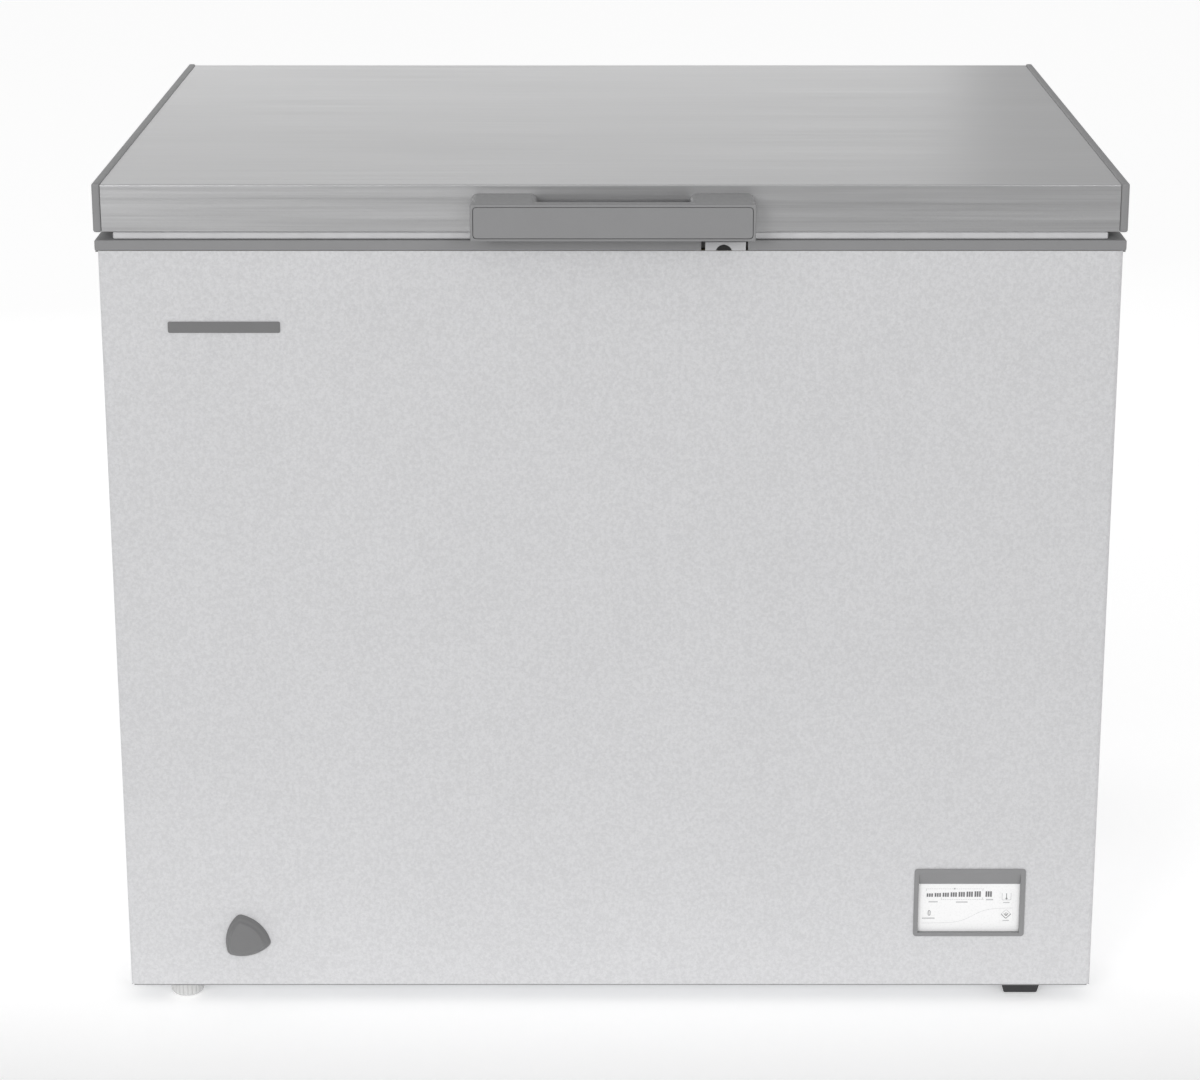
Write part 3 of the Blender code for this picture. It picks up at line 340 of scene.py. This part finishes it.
# ---- pieces -------------------------------------------------------------------------------------------
# Points of a CAD mesh this near are one. Faces that meet at less than FLAT are one face, edges over SHARP
# are drawn sharp, and edges over BEVELLED are the ones that get rounded, in degrees.
WELD = 2e-6
FLAT = 0.6
SHARP = 32
BEVELLED = 34


def finish_piece(obj, body, slot, look=None):
    """A new piece joins the scene, takes its material and rides on its body."""
    bpy.context.scene.collection.objects.link(obj)
    obj.data.materials.clear()
    obj.data.materials.append((look or LOOKS[slot]).material)
    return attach(obj, body)


def smooth(mesh, angle):
    mesh.shade_smooth()
    mesh.set_sharp_from_angle(angle=math.radians(angle))


def soften_edges(obj, radius, segments):
    bevel = obj.modifiers.new("edges", "BEVEL")
    bevel.width = radius
    bevel.segments = segments
    bevel.limit_method = "ANGLE"
    bevel.angle_limit = math.radians(BEVELLED)
    bevel.miter_outer = "MITER_ARC"


def refine(node, radius, segments):
    """The CAD node's own shape, with softened edges and smooth shading, in place of its faceted solid."""
    source = NODES[node]
    bm = bmesh.new()
    bm.from_mesh(source.data)
    bmesh.ops.remove_doubles(bm, verts=bm.verts, dist=WELD)
    bmesh.ops.dissolve_limit(bm, angle_limit=math.radians(FLAT), verts=bm.verts, edges=bm.edges)
    mesh = bpy.data.meshes.new(node + "_surface")
    bm.to_mesh(mesh)
    bm.free()
    smooth(mesh, SHARP)
    obj = bpy.data.objects.new(node + "_surface", mesh)
    finish_piece(obj, BODY_OF[node], SLOT_OF[node])
    if radius:
        soften_edges(obj, radius, segments)
    weigh = obj.modifiers.new("flat faces stay flat", "WEIGHTED_NORMAL")
    weigh.keep_sharp = True
    weigh.weight = 100
    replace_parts(obj, node)
    return obj


def dress_cad():
    """Every CAD node gets its material, and the ones that show get a refined copy."""
    for node, obj in NODES.items():
        obj.data.materials.clear()
        obj.data.materials.append(LOOKS[SLOT_OF[node]].material)
    for node, (radius, segments) in EDGES.items():
        refine(node, radius, segments)


def mesh_piece(name, bm, body, slot, look=None, angle=SHARP):
    """The shape in bm as a piece, with its edges over the angle drawn sharp."""
    mesh = bpy.data.meshes.new(name)
    bmesh.ops.recalc_face_normals(bm, faces=bm.faces)
    bm.to_mesh(mesh)
    bm.free()
    smooth(mesh, angle)
    return finish_piece(bpy.data.objects.new(name, mesh), body, slot, look)


def wires(name, paths, radius, body, slot, closed=False, look=None):
    """Round wires along several paths, as one piece."""
    curve = bpy.data.curves.new(name, "CURVE")
    curve.dimensions = "3D"
    curve.bevel_depth = radius
    curve.bevel_resolution = 3
    curve.use_fill_caps = True
    for path in paths:
        spline = curve.splines.new("POLY")
        spline.points.add(len(path) - 1)
        spline.use_smooth = True
        spline.use_cyclic_u = closed
        for point, position in zip(spline.points, path):
            point.co = (*position, 1)
    return finish_piece(bpy.data.objects.new(name, curve), body, slot, look)


def rounded(points, radius, steps=5, closed=False):
    """A path with its corners turned into arcs."""
    points = [Vector(point) for point in points]
    count = len(points)
    path = [] if closed else [points[0]]
    for index in range(0 if closed else 1, count if closed else count - 1):
        before, corner, after = points[index - 1], points[index], points[(index + 1) % count]
        back, ahead = (before - corner).normalized(), (after - corner).normalized()
        half = back.angle(ahead) / 2
        centre = corner + (back + ahead).normalized() * radius / math.sin(half)
        start = corner + back * radius / math.tan(half) - centre
        end = corner + ahead * radius / math.tan(half) - centre
        for step in range(steps + 1):
            turn = Matrix.Rotation(start.angle(end) * step / steps, 3, start.cross(end))
            path.append(centre + turn @ start)
    return path if closed else path + [points[-1]]


def around(centre, radius, angle, z):
    """A point of a level circle."""
    return Vector((centre.x + radius * math.cos(angle), centre.y + radius * math.sin(angle), z))


def turns(count):
    """Evenly spaced angles round a full turn."""
    return [math.tau * number / count for number in range(count)]


def add_box(bm, low, high):
    """A box between two opposite corners."""
    size = Vector(high) - Vector(low)
    middle = (Vector(high) + Vector(low)) / 2
    bmesh.ops.create_cube(bm, size=1, matrix=Matrix.Translation(middle) @ Matrix.Diagonal((*size, 1)))


def add_skin(bm, rings):
    """A closed skin through rings of points, with flat ends."""
    rows = [[bm.verts.new(point) for point in ring] for ring in rings]
    count = len(rows[0])
    for low, high in zip(rows, rows[1:]):
        for index in range(count):
            after = (index + 1) % count
            bm.faces.new((low[index], low[after], high[after], high[index]))
    bm.faces.new(rows[0][::-1])
    bm.faces.new(rows[-1])


def loft(name, rings, body, slot, look=None, angle=SHARP):
    """A piece that is one such skin."""
    bm = bmesh.new()
    add_skin(bm, rings)
    return mesh_piece(name, bm, body, slot, look, angle)


# ---- basket -------------------------------------------------------------------------------------------
BASKET_RIM = 0.774
# the radius of the heavy wire and of the thin wire
BASKET_WIRE = 0.0024
RIB_WIRE = 0.0013
# how far the walls stand in from the lips at the front and the back, and how far they lean in
WALL_INSET = 0.012
WALL_LEAN = 0.006
# from a wall to the first rib, and from rib to rib
RIBS_IN_X = (0.022, 0.024)
RIBS_IN_Y = (0.024, 0.026)
# how far the lower hoop is under the rim, and how far the rails end from the side walls
HOOP_DROP = 0.060
RAIL_MARGIN = 0.030
# the radius of the wires' bends
HOOP_BEND, RIB_BEND, RAIL_BEND = 0.020, 0.006, 0.0045


def spread(low, high, pitch):
    """Evenly spaced places from low to high, about a pitch apart."""
    count = max(1, round((high - low) / pitch))
    return [low + (high - low) * index / count for index in range(count + 1)]


def basket_walls():
    """Opposite corners of the wires' centre lines: the lower one in front on the left, and the upper one."""
    low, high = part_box("basket")
    return (Vector((low.x + BASKET_WIRE, low.y + WALL_INSET, low.z + BASKET_WIRE)),
            Vector((high.x - BASKET_WIRE, high.y - WALL_INSET, BASKET_RIM)))


def make_basket_frame():
    """Three hoops of heavy wire: the rim, one a little below it, and the edge of the floor."""
    low, high = basket_walls()
    hoops = []
    for z, inset in ((high.z, 0), (high.z - HOOP_DROP, WALL_LEAN / 3), (low.z, WALL_LEAN)):
        corners = [(low.x + inset, low.y + inset, z), (high.x - inset, low.y + inset, z),
                   (high.x - inset, high.y - inset, z), (low.x + inset, high.y - inset, z)]
        hoops.append(rounded(corners, HOOP_BEND, closed=True))
    piece = wires("basket_frame", hoops, BASKET_WIRE, "basket", "wire_white", closed=True)
    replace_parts(piece, "basket")


def make_basket_ribs():
    """Thin wires down one wall, along the floor and up the opposite wall."""
    low, high = basket_walls()
    under, over = low.z - BASKET_WIRE - RIB_WIRE, low.z + BASKET_WIRE + RIB_WIRE
    ribs = []
    margin, pitch = RIBS_IN_X
    for x in spread(low.x + margin, high.x - margin, pitch):
        ribs.append([(x, low.y - RIB_WIRE * 2, high.z), (x, low.y + WALL_LEAN, under),
                     (x, high.y - WALL_LEAN, under), (x, high.y + RIB_WIRE * 2, high.z)])
    margin, pitch = RIBS_IN_Y
    for y in spread(low.y + margin, high.y - margin, pitch):
        ribs.append([(low.x - RIB_WIRE, y, high.z), (low.x + WALL_LEAN, y, over),
                     (high.x - WALL_LEAN, y, over), (high.x + RIB_WIRE, y, high.z)])
    wires("basket_ribs", [rounded(rib, RIB_BEND) for rib in ribs], RIB_WIRE, "basket", "wire_white")


def make_basket_hooks():
    """At the front and the back, a rail that stands up from the rim and reaches out over the rebate."""
    edge_low, edge_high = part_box("basket")
    low, high = basket_walls()
    left, right, lip = low.x + RAIL_MARGIN, high.x - RAIL_MARGIN, edge_high.z - BASKET_WIRE
    hooks = []
    for wall, out in ((low.y, edge_low.y + BASKET_WIRE), (high.y, edge_high.y - BASKET_WIRE)):
        path = [(left, wall, high.z), (left, wall, lip), (left, out, lip),
                (right, out, lip), (right, wall, lip), (right, wall, high.z)]
        hooks.append(rounded(path, RAIL_BEND))
    wires("basket_hooks", hooks, BASKET_WIRE, "basket", "wire_white")


# ---- drain knob and feet ------------------------------------------------------------------------------
KNOB_WIDTH = 0.0455
KNOB_TURN = math.radians(-15)
KNOB_BACK = -0.3458
# points round each corner of the knob and along each of its sides
CORNER_STEPS, SIDE_STEPS = 12, 16
# the number and depth of the grooves round a levelling foot, and the steps each is drawn in
FLUTES = 22
FLUTE_DEPTH = 0.0011
FLUTE_STEPS = 8
# height above the floor, how far the outline draws in
FOOT_PROFILE = ((0.0, 0.0067), (0.0004, 0.0051), (0.0014, 0.0029), (0.0028, 0.0013), (0.0045, 0.0004),
                (0.0062, 0.0), (0.0144, 0.0), (0.0150, 0.0005))
# height above the floor, radius
STEM_PROFILE = ((0.0145, 0.0090), (0.0160, 0.0090), (0.0162, 0.0038), (0.0400, 0.0038))
STEM_SIDES = 32


def constant_width(centre, width, corner, first, y):
    """A ring round a three-cornered shape of constant width, with its first corner at the angle given."""
    core, ring = width - 2 * corner, []
    for number in range(3):
        angle = first + number * math.tau / 3
        tip = Vector((math.cos(angle), math.sin(angle))) * core / math.sqrt(3)
        for step in range(CORNER_STEPS):
            turn = angle + math.radians(-30 + 60 * step / CORNER_STEPS)
            ring.append(tip + corner * Vector((math.cos(turn), math.sin(turn))))
        far = first + (number + 2) * math.tau / 3
        tip = Vector((math.cos(far), math.sin(far))) * core / math.sqrt(3)
        for step in range(SIDE_STEPS):
            turn = far + math.pi + math.radians(-30 + 60 * step / SIDE_STEPS)
            ring.append(tip + (core + corner) * Vector((math.cos(turn), math.sin(turn))))
    return [Vector((centre.x + p.x, y, centre.y + p.y)) for p in ring]


def make_drain_knob():
    """The pull-out drain's cap: sloping sides with a fine step that round over into a flat face."""
    low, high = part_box("drain_knob")
    spout_low, spout_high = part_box("drain_spout")
    centre = Vector(((spout_low.x + spout_high.x) / 2, (spout_low.z + spout_high.z) / 2))
    back, front = KNOB_BACK, low.y
    # y, how far the outline has drawn in
    profile = [(back, 0.0), (back - 0.0010, 0.0001), (back - 0.0050, 0.0021), (back - 0.0056, 0.0026),
               (back - 0.0058, 0.0032), (front + 0.0022, 0.0046), (front + 0.0010, 0.0052),
               (front + 0.0003, 0.0060), (front, 0.0070)]
    rings = []
    for y, inset in profile:
        corner = max(0.0022, 0.0060 - 0.5 * inset)
        rings.append(constant_width(centre, KNOB_WIDTH - 2 * inset, corner, KNOB_TURN, y))
    knob = loft("drain_knob_cap", rings, "drain_knob", "knob_plastic", angle=60)
    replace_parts(knob, "drain_knob")


def fluted_rings(centre, outer):
    """The foot's outline from the floor up. Its grooves fade out at the bottom."""
    rings = []
    for z, inset in FOOT_PROFILE:
        ring = []
        for angle in turns(FLUTES * FLUTE_STEPS):
            groove = max(0.0, math.cos(angle * FLUTES)) ** 3
            depth = FLUTE_DEPTH * groove * min(1.0, z / 0.004)
            ring.append(around(centre, outer - inset - depth, angle, z))
        rings.append(ring)
    return rings


def make_levelling_foot(row):
    """A fluted foot whose lower rim rounds under, with its collar and threaded stem."""
    node = "foot_%s_left" % row
    low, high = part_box(node)
    centre, outer = (low + high) / 2, (high.x - low.x) / 2
    foot = loft("levelling_foot_" + row, fluted_rings(centre, outer), node, "white_plastic", angle=60)
    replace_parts(foot, node)
    rings = [[around(centre, radius, angle, z) for angle in turns(STEM_SIDES)] for z, radius in STEM_PROFILE]
    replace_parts(loft("levelling_foot_%s_stem" % row, rings, node, "white_plastic"), node)


# ---- control panel print ------------------------------------------------------------------------------
FACE_LEFT, FACE_BOTTOM = 0.3116, 0.0740
FACE_WIDTH, FACE_HEIGHT = 0.1028, 0.0516
INK_THICKNESS = 0.00006
# the two keys: their middle in x, and the middle of each in z
KEY_X = 0.4013
SET_KEY_Z = 0.1109
FREEZE_KEY_Z = 0.0912
# how far each key grows on all four sides in its opening
KEY_GROWTH = 0.00022


def print_boxes(name, spans, y, body, look):
    """Flat printed marks: thin raised rectangles in the plane of the control face."""
    bm = bmesh.new()
    for left, bottom, right, top in spans:
        add_box(bm, (left, y - INK_THICKNESS, bottom), (right, y, top))
    mesh_piece(name, bm, body, "face_white", look)


def print_wires(name, paths, radius, body, look, closed=False):
    """Fine printed lines, half sunk in the control face."""
    wires(name, paths, radius, body, "face_white", closed, look)


def on_face(share_x, share_z):
    """A place on the control face, as shares of its width from the left and of its height from below."""
    return FACE_LEFT + FACE_WIDTH * share_x, FACE_BOTTOM + FACE_HEIGHT * share_z


def face_bar(x0, z0, x1, z1):
    """The left, lower, right and upper edges of a bar, from shares of the face."""
    return (*on_face(x0, z0), *on_face(x1, z1))


def make_gauge(y):
    """Seven groups of three bars that grow to the right, and one group apart, in shares of the face."""
    bars, low = [], 0.728
    for group in range(8):
        start = 0.085 + 0.0785 * group + (0.030 if group == 7 else 0)
        tall = 0.072 + 0.0075 * min(group, 6)
        for bar in range(3):
            x = start + 0.0225 * bar
            bars.append(face_bar(x, low, x + 0.0165, low + tall))
    print_boxes("print_gauge", bars, y, "cabinet", INK)


def make_brackets(y):
    """The fine dashed lines over and under the gauge, with their ends turned towards it and a marker."""
    dashes = []
    for low, high, z in ((0.080, 0.635, 0.893), (0.230, 0.635, 0.668)):
        for x in spread(low, high, 0.018):
            dashes.append(face_bar(x, z, x + 0.011, z + 0.007))
        end = -0.045 if z > 0.8 else 0.045
        for x in (low, high):
            dashes.append(face_bar(x, min(z, z + end), x + 0.003, max(z, z + end)))
    dashes.append(face_bar(0.350, 0.885, 0.366, 0.915))
    print_boxes("print_brackets", dashes, y, "cabinet", PALE_INK)


def make_caption_dashes(y):
    """Short plain dashes where the real face has captions."""
    # left end, lower edge and length, as shares of the face
    places = ((0.105, 0.610, 0.090), (0.375, 0.605, 0.115), (0.672, 0.655, 0.070), (0.045, 0.262, 0.125))
    dashes = [face_bar(x, z, x + length, z + 0.022) for x, z, length in places]
    print_boxes("print_dashes", dashes, y, "cabinet", PALE_INK)
    for middle, key in ((SET_KEY_Z, "set_button"), (FREEZE_KEY_Z, "freeze_button")):
        low = middle - 0.0060
        dash = (KEY_X - 0.0033, low, KEY_X + 0.0033, low + 0.0008)
        print_boxes("print_dash_" + key, [dash], y, key, PALE_INK)


def make_lamp_and_line(y):
    """The running lamp, a small upright pill, and the faint line that rises to the right."""
    x, z = on_face(0.114, 0.385)
    corners = [(x - 0.0010, y, z - 0.0025), (x + 0.0010, y, z - 0.0025),
               (x + 0.0010, y, z + 0.0025), (x - 0.0010, y, z + 0.0025)]
    pill = rounded(corners, 0.0009, closed=True)
    print_wires("print_lamp", [pill], 0.00032, "cabinet", INK, closed=True)
    line = []
    for step in range(41):
        share = step / 40
        rise = 1 / (1 + math.exp(-13 * (share - 0.56)))
        x, z = on_face(0.04 + 0.90 * share, 0.17 + 0.32 * rise)
        line.append((x, y, z))
    print_wires("print_line", [line], 0.00012, "cabinet", PALE_INK)


def make_set_symbol(y):
    """A thermometer standing in a tray."""
    x, z = KEY_X, SET_KEY_Z + 0.0008
    tray = [(x - 0.0045, y, z + 0.0040), (x - 0.0045, y, z - 0.0036), (x + 0.0045, y, z - 0.0036),
            (x + 0.0045, y, z + 0.0040)]
    stem = [(x, y, z - 0.0020), (x, y, z + 0.0036)]
    bulb = []
    for step in range(13):
        angle = math.tau * step / 12
        bulb.append((x + 0.0007 * math.cos(angle), y, z - 0.0020 + 0.0007 * math.sin(angle)))
    print_wires("print_set_tray", [rounded(tray, 0.0010)], 0.00022, "set_button", PALE_INK)
    print_wires("print_set_gauge", [stem, bulb], 0.00030, "set_button", INK)


def make_freeze_symbol(y):
    """A diamond, heavier below, round three short strokes that fan upwards."""
    x, z, reach = KEY_X, FREEZE_KEY_Z + 0.0015, 0.0049
    below = rounded([(x - reach, y, z), (x, y, z - reach), (x + reach, y, z)], 0.0006)
    above = rounded([(x - reach, y, z), (x, y, z + reach), (x + reach, y, z)], 0.0006)
    print_wires("print_freeze_low", [below], 0.00032, "freeze_button", INK)
    print_wires("print_freeze_high", [above], 0.00018, "freeze_button", PALE_INK)
    strokes = []
    for lean in (-0.5, 0.0, 0.5):
        foot = (x + 0.0008 * lean, y, z - 0.0018)
        tip = (x + 0.0042 * lean, y, z + 0.0018 - abs(lean) * 0.002)
        strokes.append([foot, tip])
    print_wires("print_freeze_leaves", strokes, 0.00030, "freeze_button", INK)


def make_buttons():
    """The two keys fill their openings, so that only a hairline shows round them."""
    for node in ("set_button", "freeze_button"):
        obj = refine(node, 0, 1)
        low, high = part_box(node)
        middle = (low + high) / 2
        for vert in obj.data.vertices:
            vert.co.x += math.copysign(KEY_GROWTH, vert.co.x - middle.x)
            vert.co.z += math.copysign(KEY_GROWTH, vert.co.z - middle.z)


def make_control_print():
    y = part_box("control_face")[0].y
    make_gauge(y)
    make_brackets(y)
    make_caption_dashes(y)
    make_lamp_and_line(y)
    make_set_symbol(y)
    make_freeze_symbol(y)
    make_buttons()


# ---- lock recess and base lip, both painted shade -----------------------------------------------------
RECESS_X, RECESS_Z = 0.108, 0.7776
RECESS_RADIUS = 0.0079
RECESS_STEPS = 24
# how far the grey strip that draws the hem's painted shade reaches below the panels
SHADE_LINE_DEPTH = 0.0011


def make_lock_recess_shade():
    """A near-black sheet on the floor of the recess round the keyhole, a half circle: painted shade in the
    hole. The barrel in it gets the same painted shade.
    """
    low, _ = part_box("lock_housing")
    back = low.y + 0.0017
    front = back - 0.0009
    outline = []
    for step in range(RECESS_STEPS + 1):
        angle = math.pi * step / RECESS_STEPS
        x = RECESS_X + RECESS_RADIUS * math.cos(angle)
        z = max(low.z + 0.0001, RECESS_Z + RECESS_RADIUS * math.sin(angle))
        outline.append((x, z))
    rings = [[Vector((x, y, z)) for x, z in outline] for y in (back, front)]
    loft("lock_recess_painted_shade", rings, "cabinet", "black_rubber", look=RECESS_PAINTED_SHADE)
    # the lock barrel is painted near-black too, as shade in the recess
    bpy.data.objects["lock_barrel_surface"].data.materials[0] = RECESS_PAINTED_SHADE.material


def make_base_shade_line():
    """The base pan's thin edge under the front and side panels, in darker grey and reaching below them: it
    draws the painted shade under the panels' bottom hem as a thin dark line.
    """
    low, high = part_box("cabinet_wrapper")
    bottom = low.z - SHADE_LINE_DEPTH
    bm = bmesh.new()
    add_box(bm, (low.x + 0.003, low.y + 0.0003, bottom), (high.x - 0.003, low.y + 0.0016, low.z))
    add_box(bm, (low.x + 0.0003, low.y + 0.003, bottom), (low.x + 0.0016, high.y, low.z))
    add_box(bm, (high.x - 0.0016, low.y + 0.003, bottom), (high.x - 0.0003, high.y, low.z))
    mesh_piece("base_pan_shade_line", bm, "cabinet", "grey_plastic")


# ---- screws -------------------------------------------------------------------------------------------
SCREW_SIDES = 24
# radius and height, as shares of the head's radius
SCREW_PROFILE = ((1.0, 0.0), (1.0, 0.25), (0.94, 0.42), (0.78, 0.55), (0.52, 0.62))
# the cross recess, as shares of the same: its floor's height, and how far its arms and its notches reach
CROSS_FLOOR = 0.30
CROSS_REACH, CROSS_ROOT = 0.44, 0.14
# radius of each kind of head, and how far the heads of two kinds are from the edges of what they hold
COVER_SCREW, BRACKET_SCREW, ARM_SCREW = 0.0034, 0.0036, 0.0032
COVER_MARGIN, ARM_MARGIN = 0.009, 0.007
BRACKET_SCREW_HEIGHTS = (0.7045, 0.7655)
ARM_SCREW_Y = 0.378


def screw_rings(radius):
    """Rings up over a pan head and down to the floor of its cross recess."""
    axis = Vector((0, 0, 0))
    rings = []
    for share, rise in SCREW_PROFILE:
        rings.append([around(axis, radius * share, angle, radius * rise) for angle in turns(SCREW_SIDES)])
    floor = []
    for angle in turns(SCREW_SIDES):
        in_arm = abs(math.cos(2 * angle)) > 0.75
        share = CROSS_REACH if in_arm else CROSS_ROOT
        floor.append(around(axis, radius * share, angle, radius * CROSS_FLOOR))
    return rings + [floor]


def make_screws(name, places, normal, radius, body):
    """Pan-head screws, as one piece for each panel they hold."""
    bm = bmesh.new()
    turn = Vector(normal).to_track_quat("Z", "Y").to_matrix().to_4x4()
    for position in places:
        put = Matrix.Translation(Vector(position)) @ turn
        add_skin(bm, [[put @ point for point in ring] for ring in screw_rings(radius)])
    mesh_piece(name, bm, body, "chrome_steel", angle=30)


def make_fasteners():
    """Six screws on the rear cover, and two on each hinge bracket and each hinge arm."""
    low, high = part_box("rear_bay_cover")
    columns = (low.x + COVER_MARGIN, (low.x + high.x) / 2, high.x - COVER_MARGIN)
    rows = (low.z + COVER_MARGIN, high.z - COVER_MARGIN)
    places = [(x, high.y, z) for x in columns for z in rows]
    make_screws("rear_cover_screws", places, (0, 1, 0), COVER_SCREW, "cabinet")
    for side in ("left", "right"):
        low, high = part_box("hinge_bracket_" + side)
        middle = (low.x + high.x) / 2
        places = [(middle, low.y + 0.0016, z) for z in BRACKET_SCREW_HEIGHTS]
        make_screws("hinge_bracket_screws_" + side, places, (0, 1, 0), BRACKET_SCREW, "cabinet")
        low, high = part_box("hinge_arm_" + side)
        columns = (low.x + ARM_MARGIN, high.x - ARM_MARGIN)
        places = [(x, ARM_SCREW_Y, high.z - 0.0027) for x in columns]
        make_screws("hinge_arm_screws_" + side, places, (0, 0, -1), ARM_SCREW, "lid")


# ---- stage --------------------------------------------------------------------------------------------
FLOOR_HALF = 40
# a hair under the feet, so that they don't share a plane with it
FLOOR_Z = -0.0004


def make_floor():
    """A pale sheet, with painted light glowing white round and behind the freezer over its shadow, and
    painted shade making it greyer in front of it.
    """
    bm = bmesh.new()
    bmesh.ops.create_grid(bm, x_segments=1, y_segments=1, size=FLOOR_HALF)
    mesh = bpy.data.meshes.new("floor")
    bm.to_mesh(mesh)
    bm.free()
    floor = bpy.data.objects.new("floor", mesh)
    floor.location.z = FLOOR_Z
    bpy.context.scene.collection.objects.link(floor)
    paint = Look("floor_painted_light_and_shade", (0.93, 0.93, 0.93), 0.8, Specular_IOR_Level=0.1)
    axes = paint.node("ShaderNodeSeparateXYZ")
    paint.link(paint.place(), axes.inputs["Vector"])
    # painted shade: the floor's colour greyer towards the camera
    paint.shade(axes.outputs["Y"], FLOOR_SHADE_IN_FRONT, 1.0, FLOOR_SHADE_RISE)
    # painted light: the floor glows round and behind the freezer, over its shadow
    painted_glow = paint.remap(axes.outputs["Y"], FLOOR_PAINTED_GLOW_RISE, 0.0, FLOOR_PAINTED_GLOW)
    paint.link(painted_glow, paint.shader.inputs["Emission Strength"])
    paint.shader.inputs["Emission Color"].default_value = (1, 1, 1, 1)
    mesh.materials.append(paint.material)


def softbox(name, position, target, size, power):
    """A rectangular lamp aimed at a point, out of the camera's sight."""
    light = bpy.data.lights.new(name, "AREA")
    light.shape = "RECTANGLE"
    light.size, light.size_y = size
    light.energy = power
    lamp = bpy.data.objects.new(name, light)
    lamp.location = position
    lamp.rotation_euler = (Vector(target) - Vector(position)).to_track_quat("-Z", "Y").to_euler()
    lamp.visible_camera = False
    bpy.context.scene.collection.objects.link(lamp)


def make_lights():
    world = bpy.data.worlds.new("studio")
    bpy.context.scene.world = world
    world.use_nodes = True
    world.node_tree.nodes["Background"].inputs["Color"].default_value = (1, 1, 1, 1)
    world.node_tree.nodes["Background"].inputs["Strength"].default_value = WORLD
    for name, position, target, size, power in LIGHTS:
        softbox(name, position, target, size, power)


def make_camera():
    camera = bpy.data.cameras.new("camera")
    camera.lens = LENS
    camera.sensor_width = 36
    camera.shift_x, camera.shift_y = SHIFT
    camera.clip_end = 200
    eye = bpy.data.objects.new("camera", camera)
    eye.location = CAMERA
    eye.rotation_euler = (math.radians(90 - CAMERA_DOWN), 0, 0)
    bpy.context.scene.collection.objects.link(eye)
    bpy.context.scene.camera = eye
    bpy.context.scene.view_settings.view_transform = "Standard"


dress_cad()
make_basket_frame()
make_basket_ribs()
make_basket_hooks()
make_drain_knob()
make_levelling_foot("front")
make_levelling_foot("rear")
make_control_print()
make_lock_recess_shade()
make_base_shade_line()
make_fasteners()
make_floor()
make_lights()
make_camera()
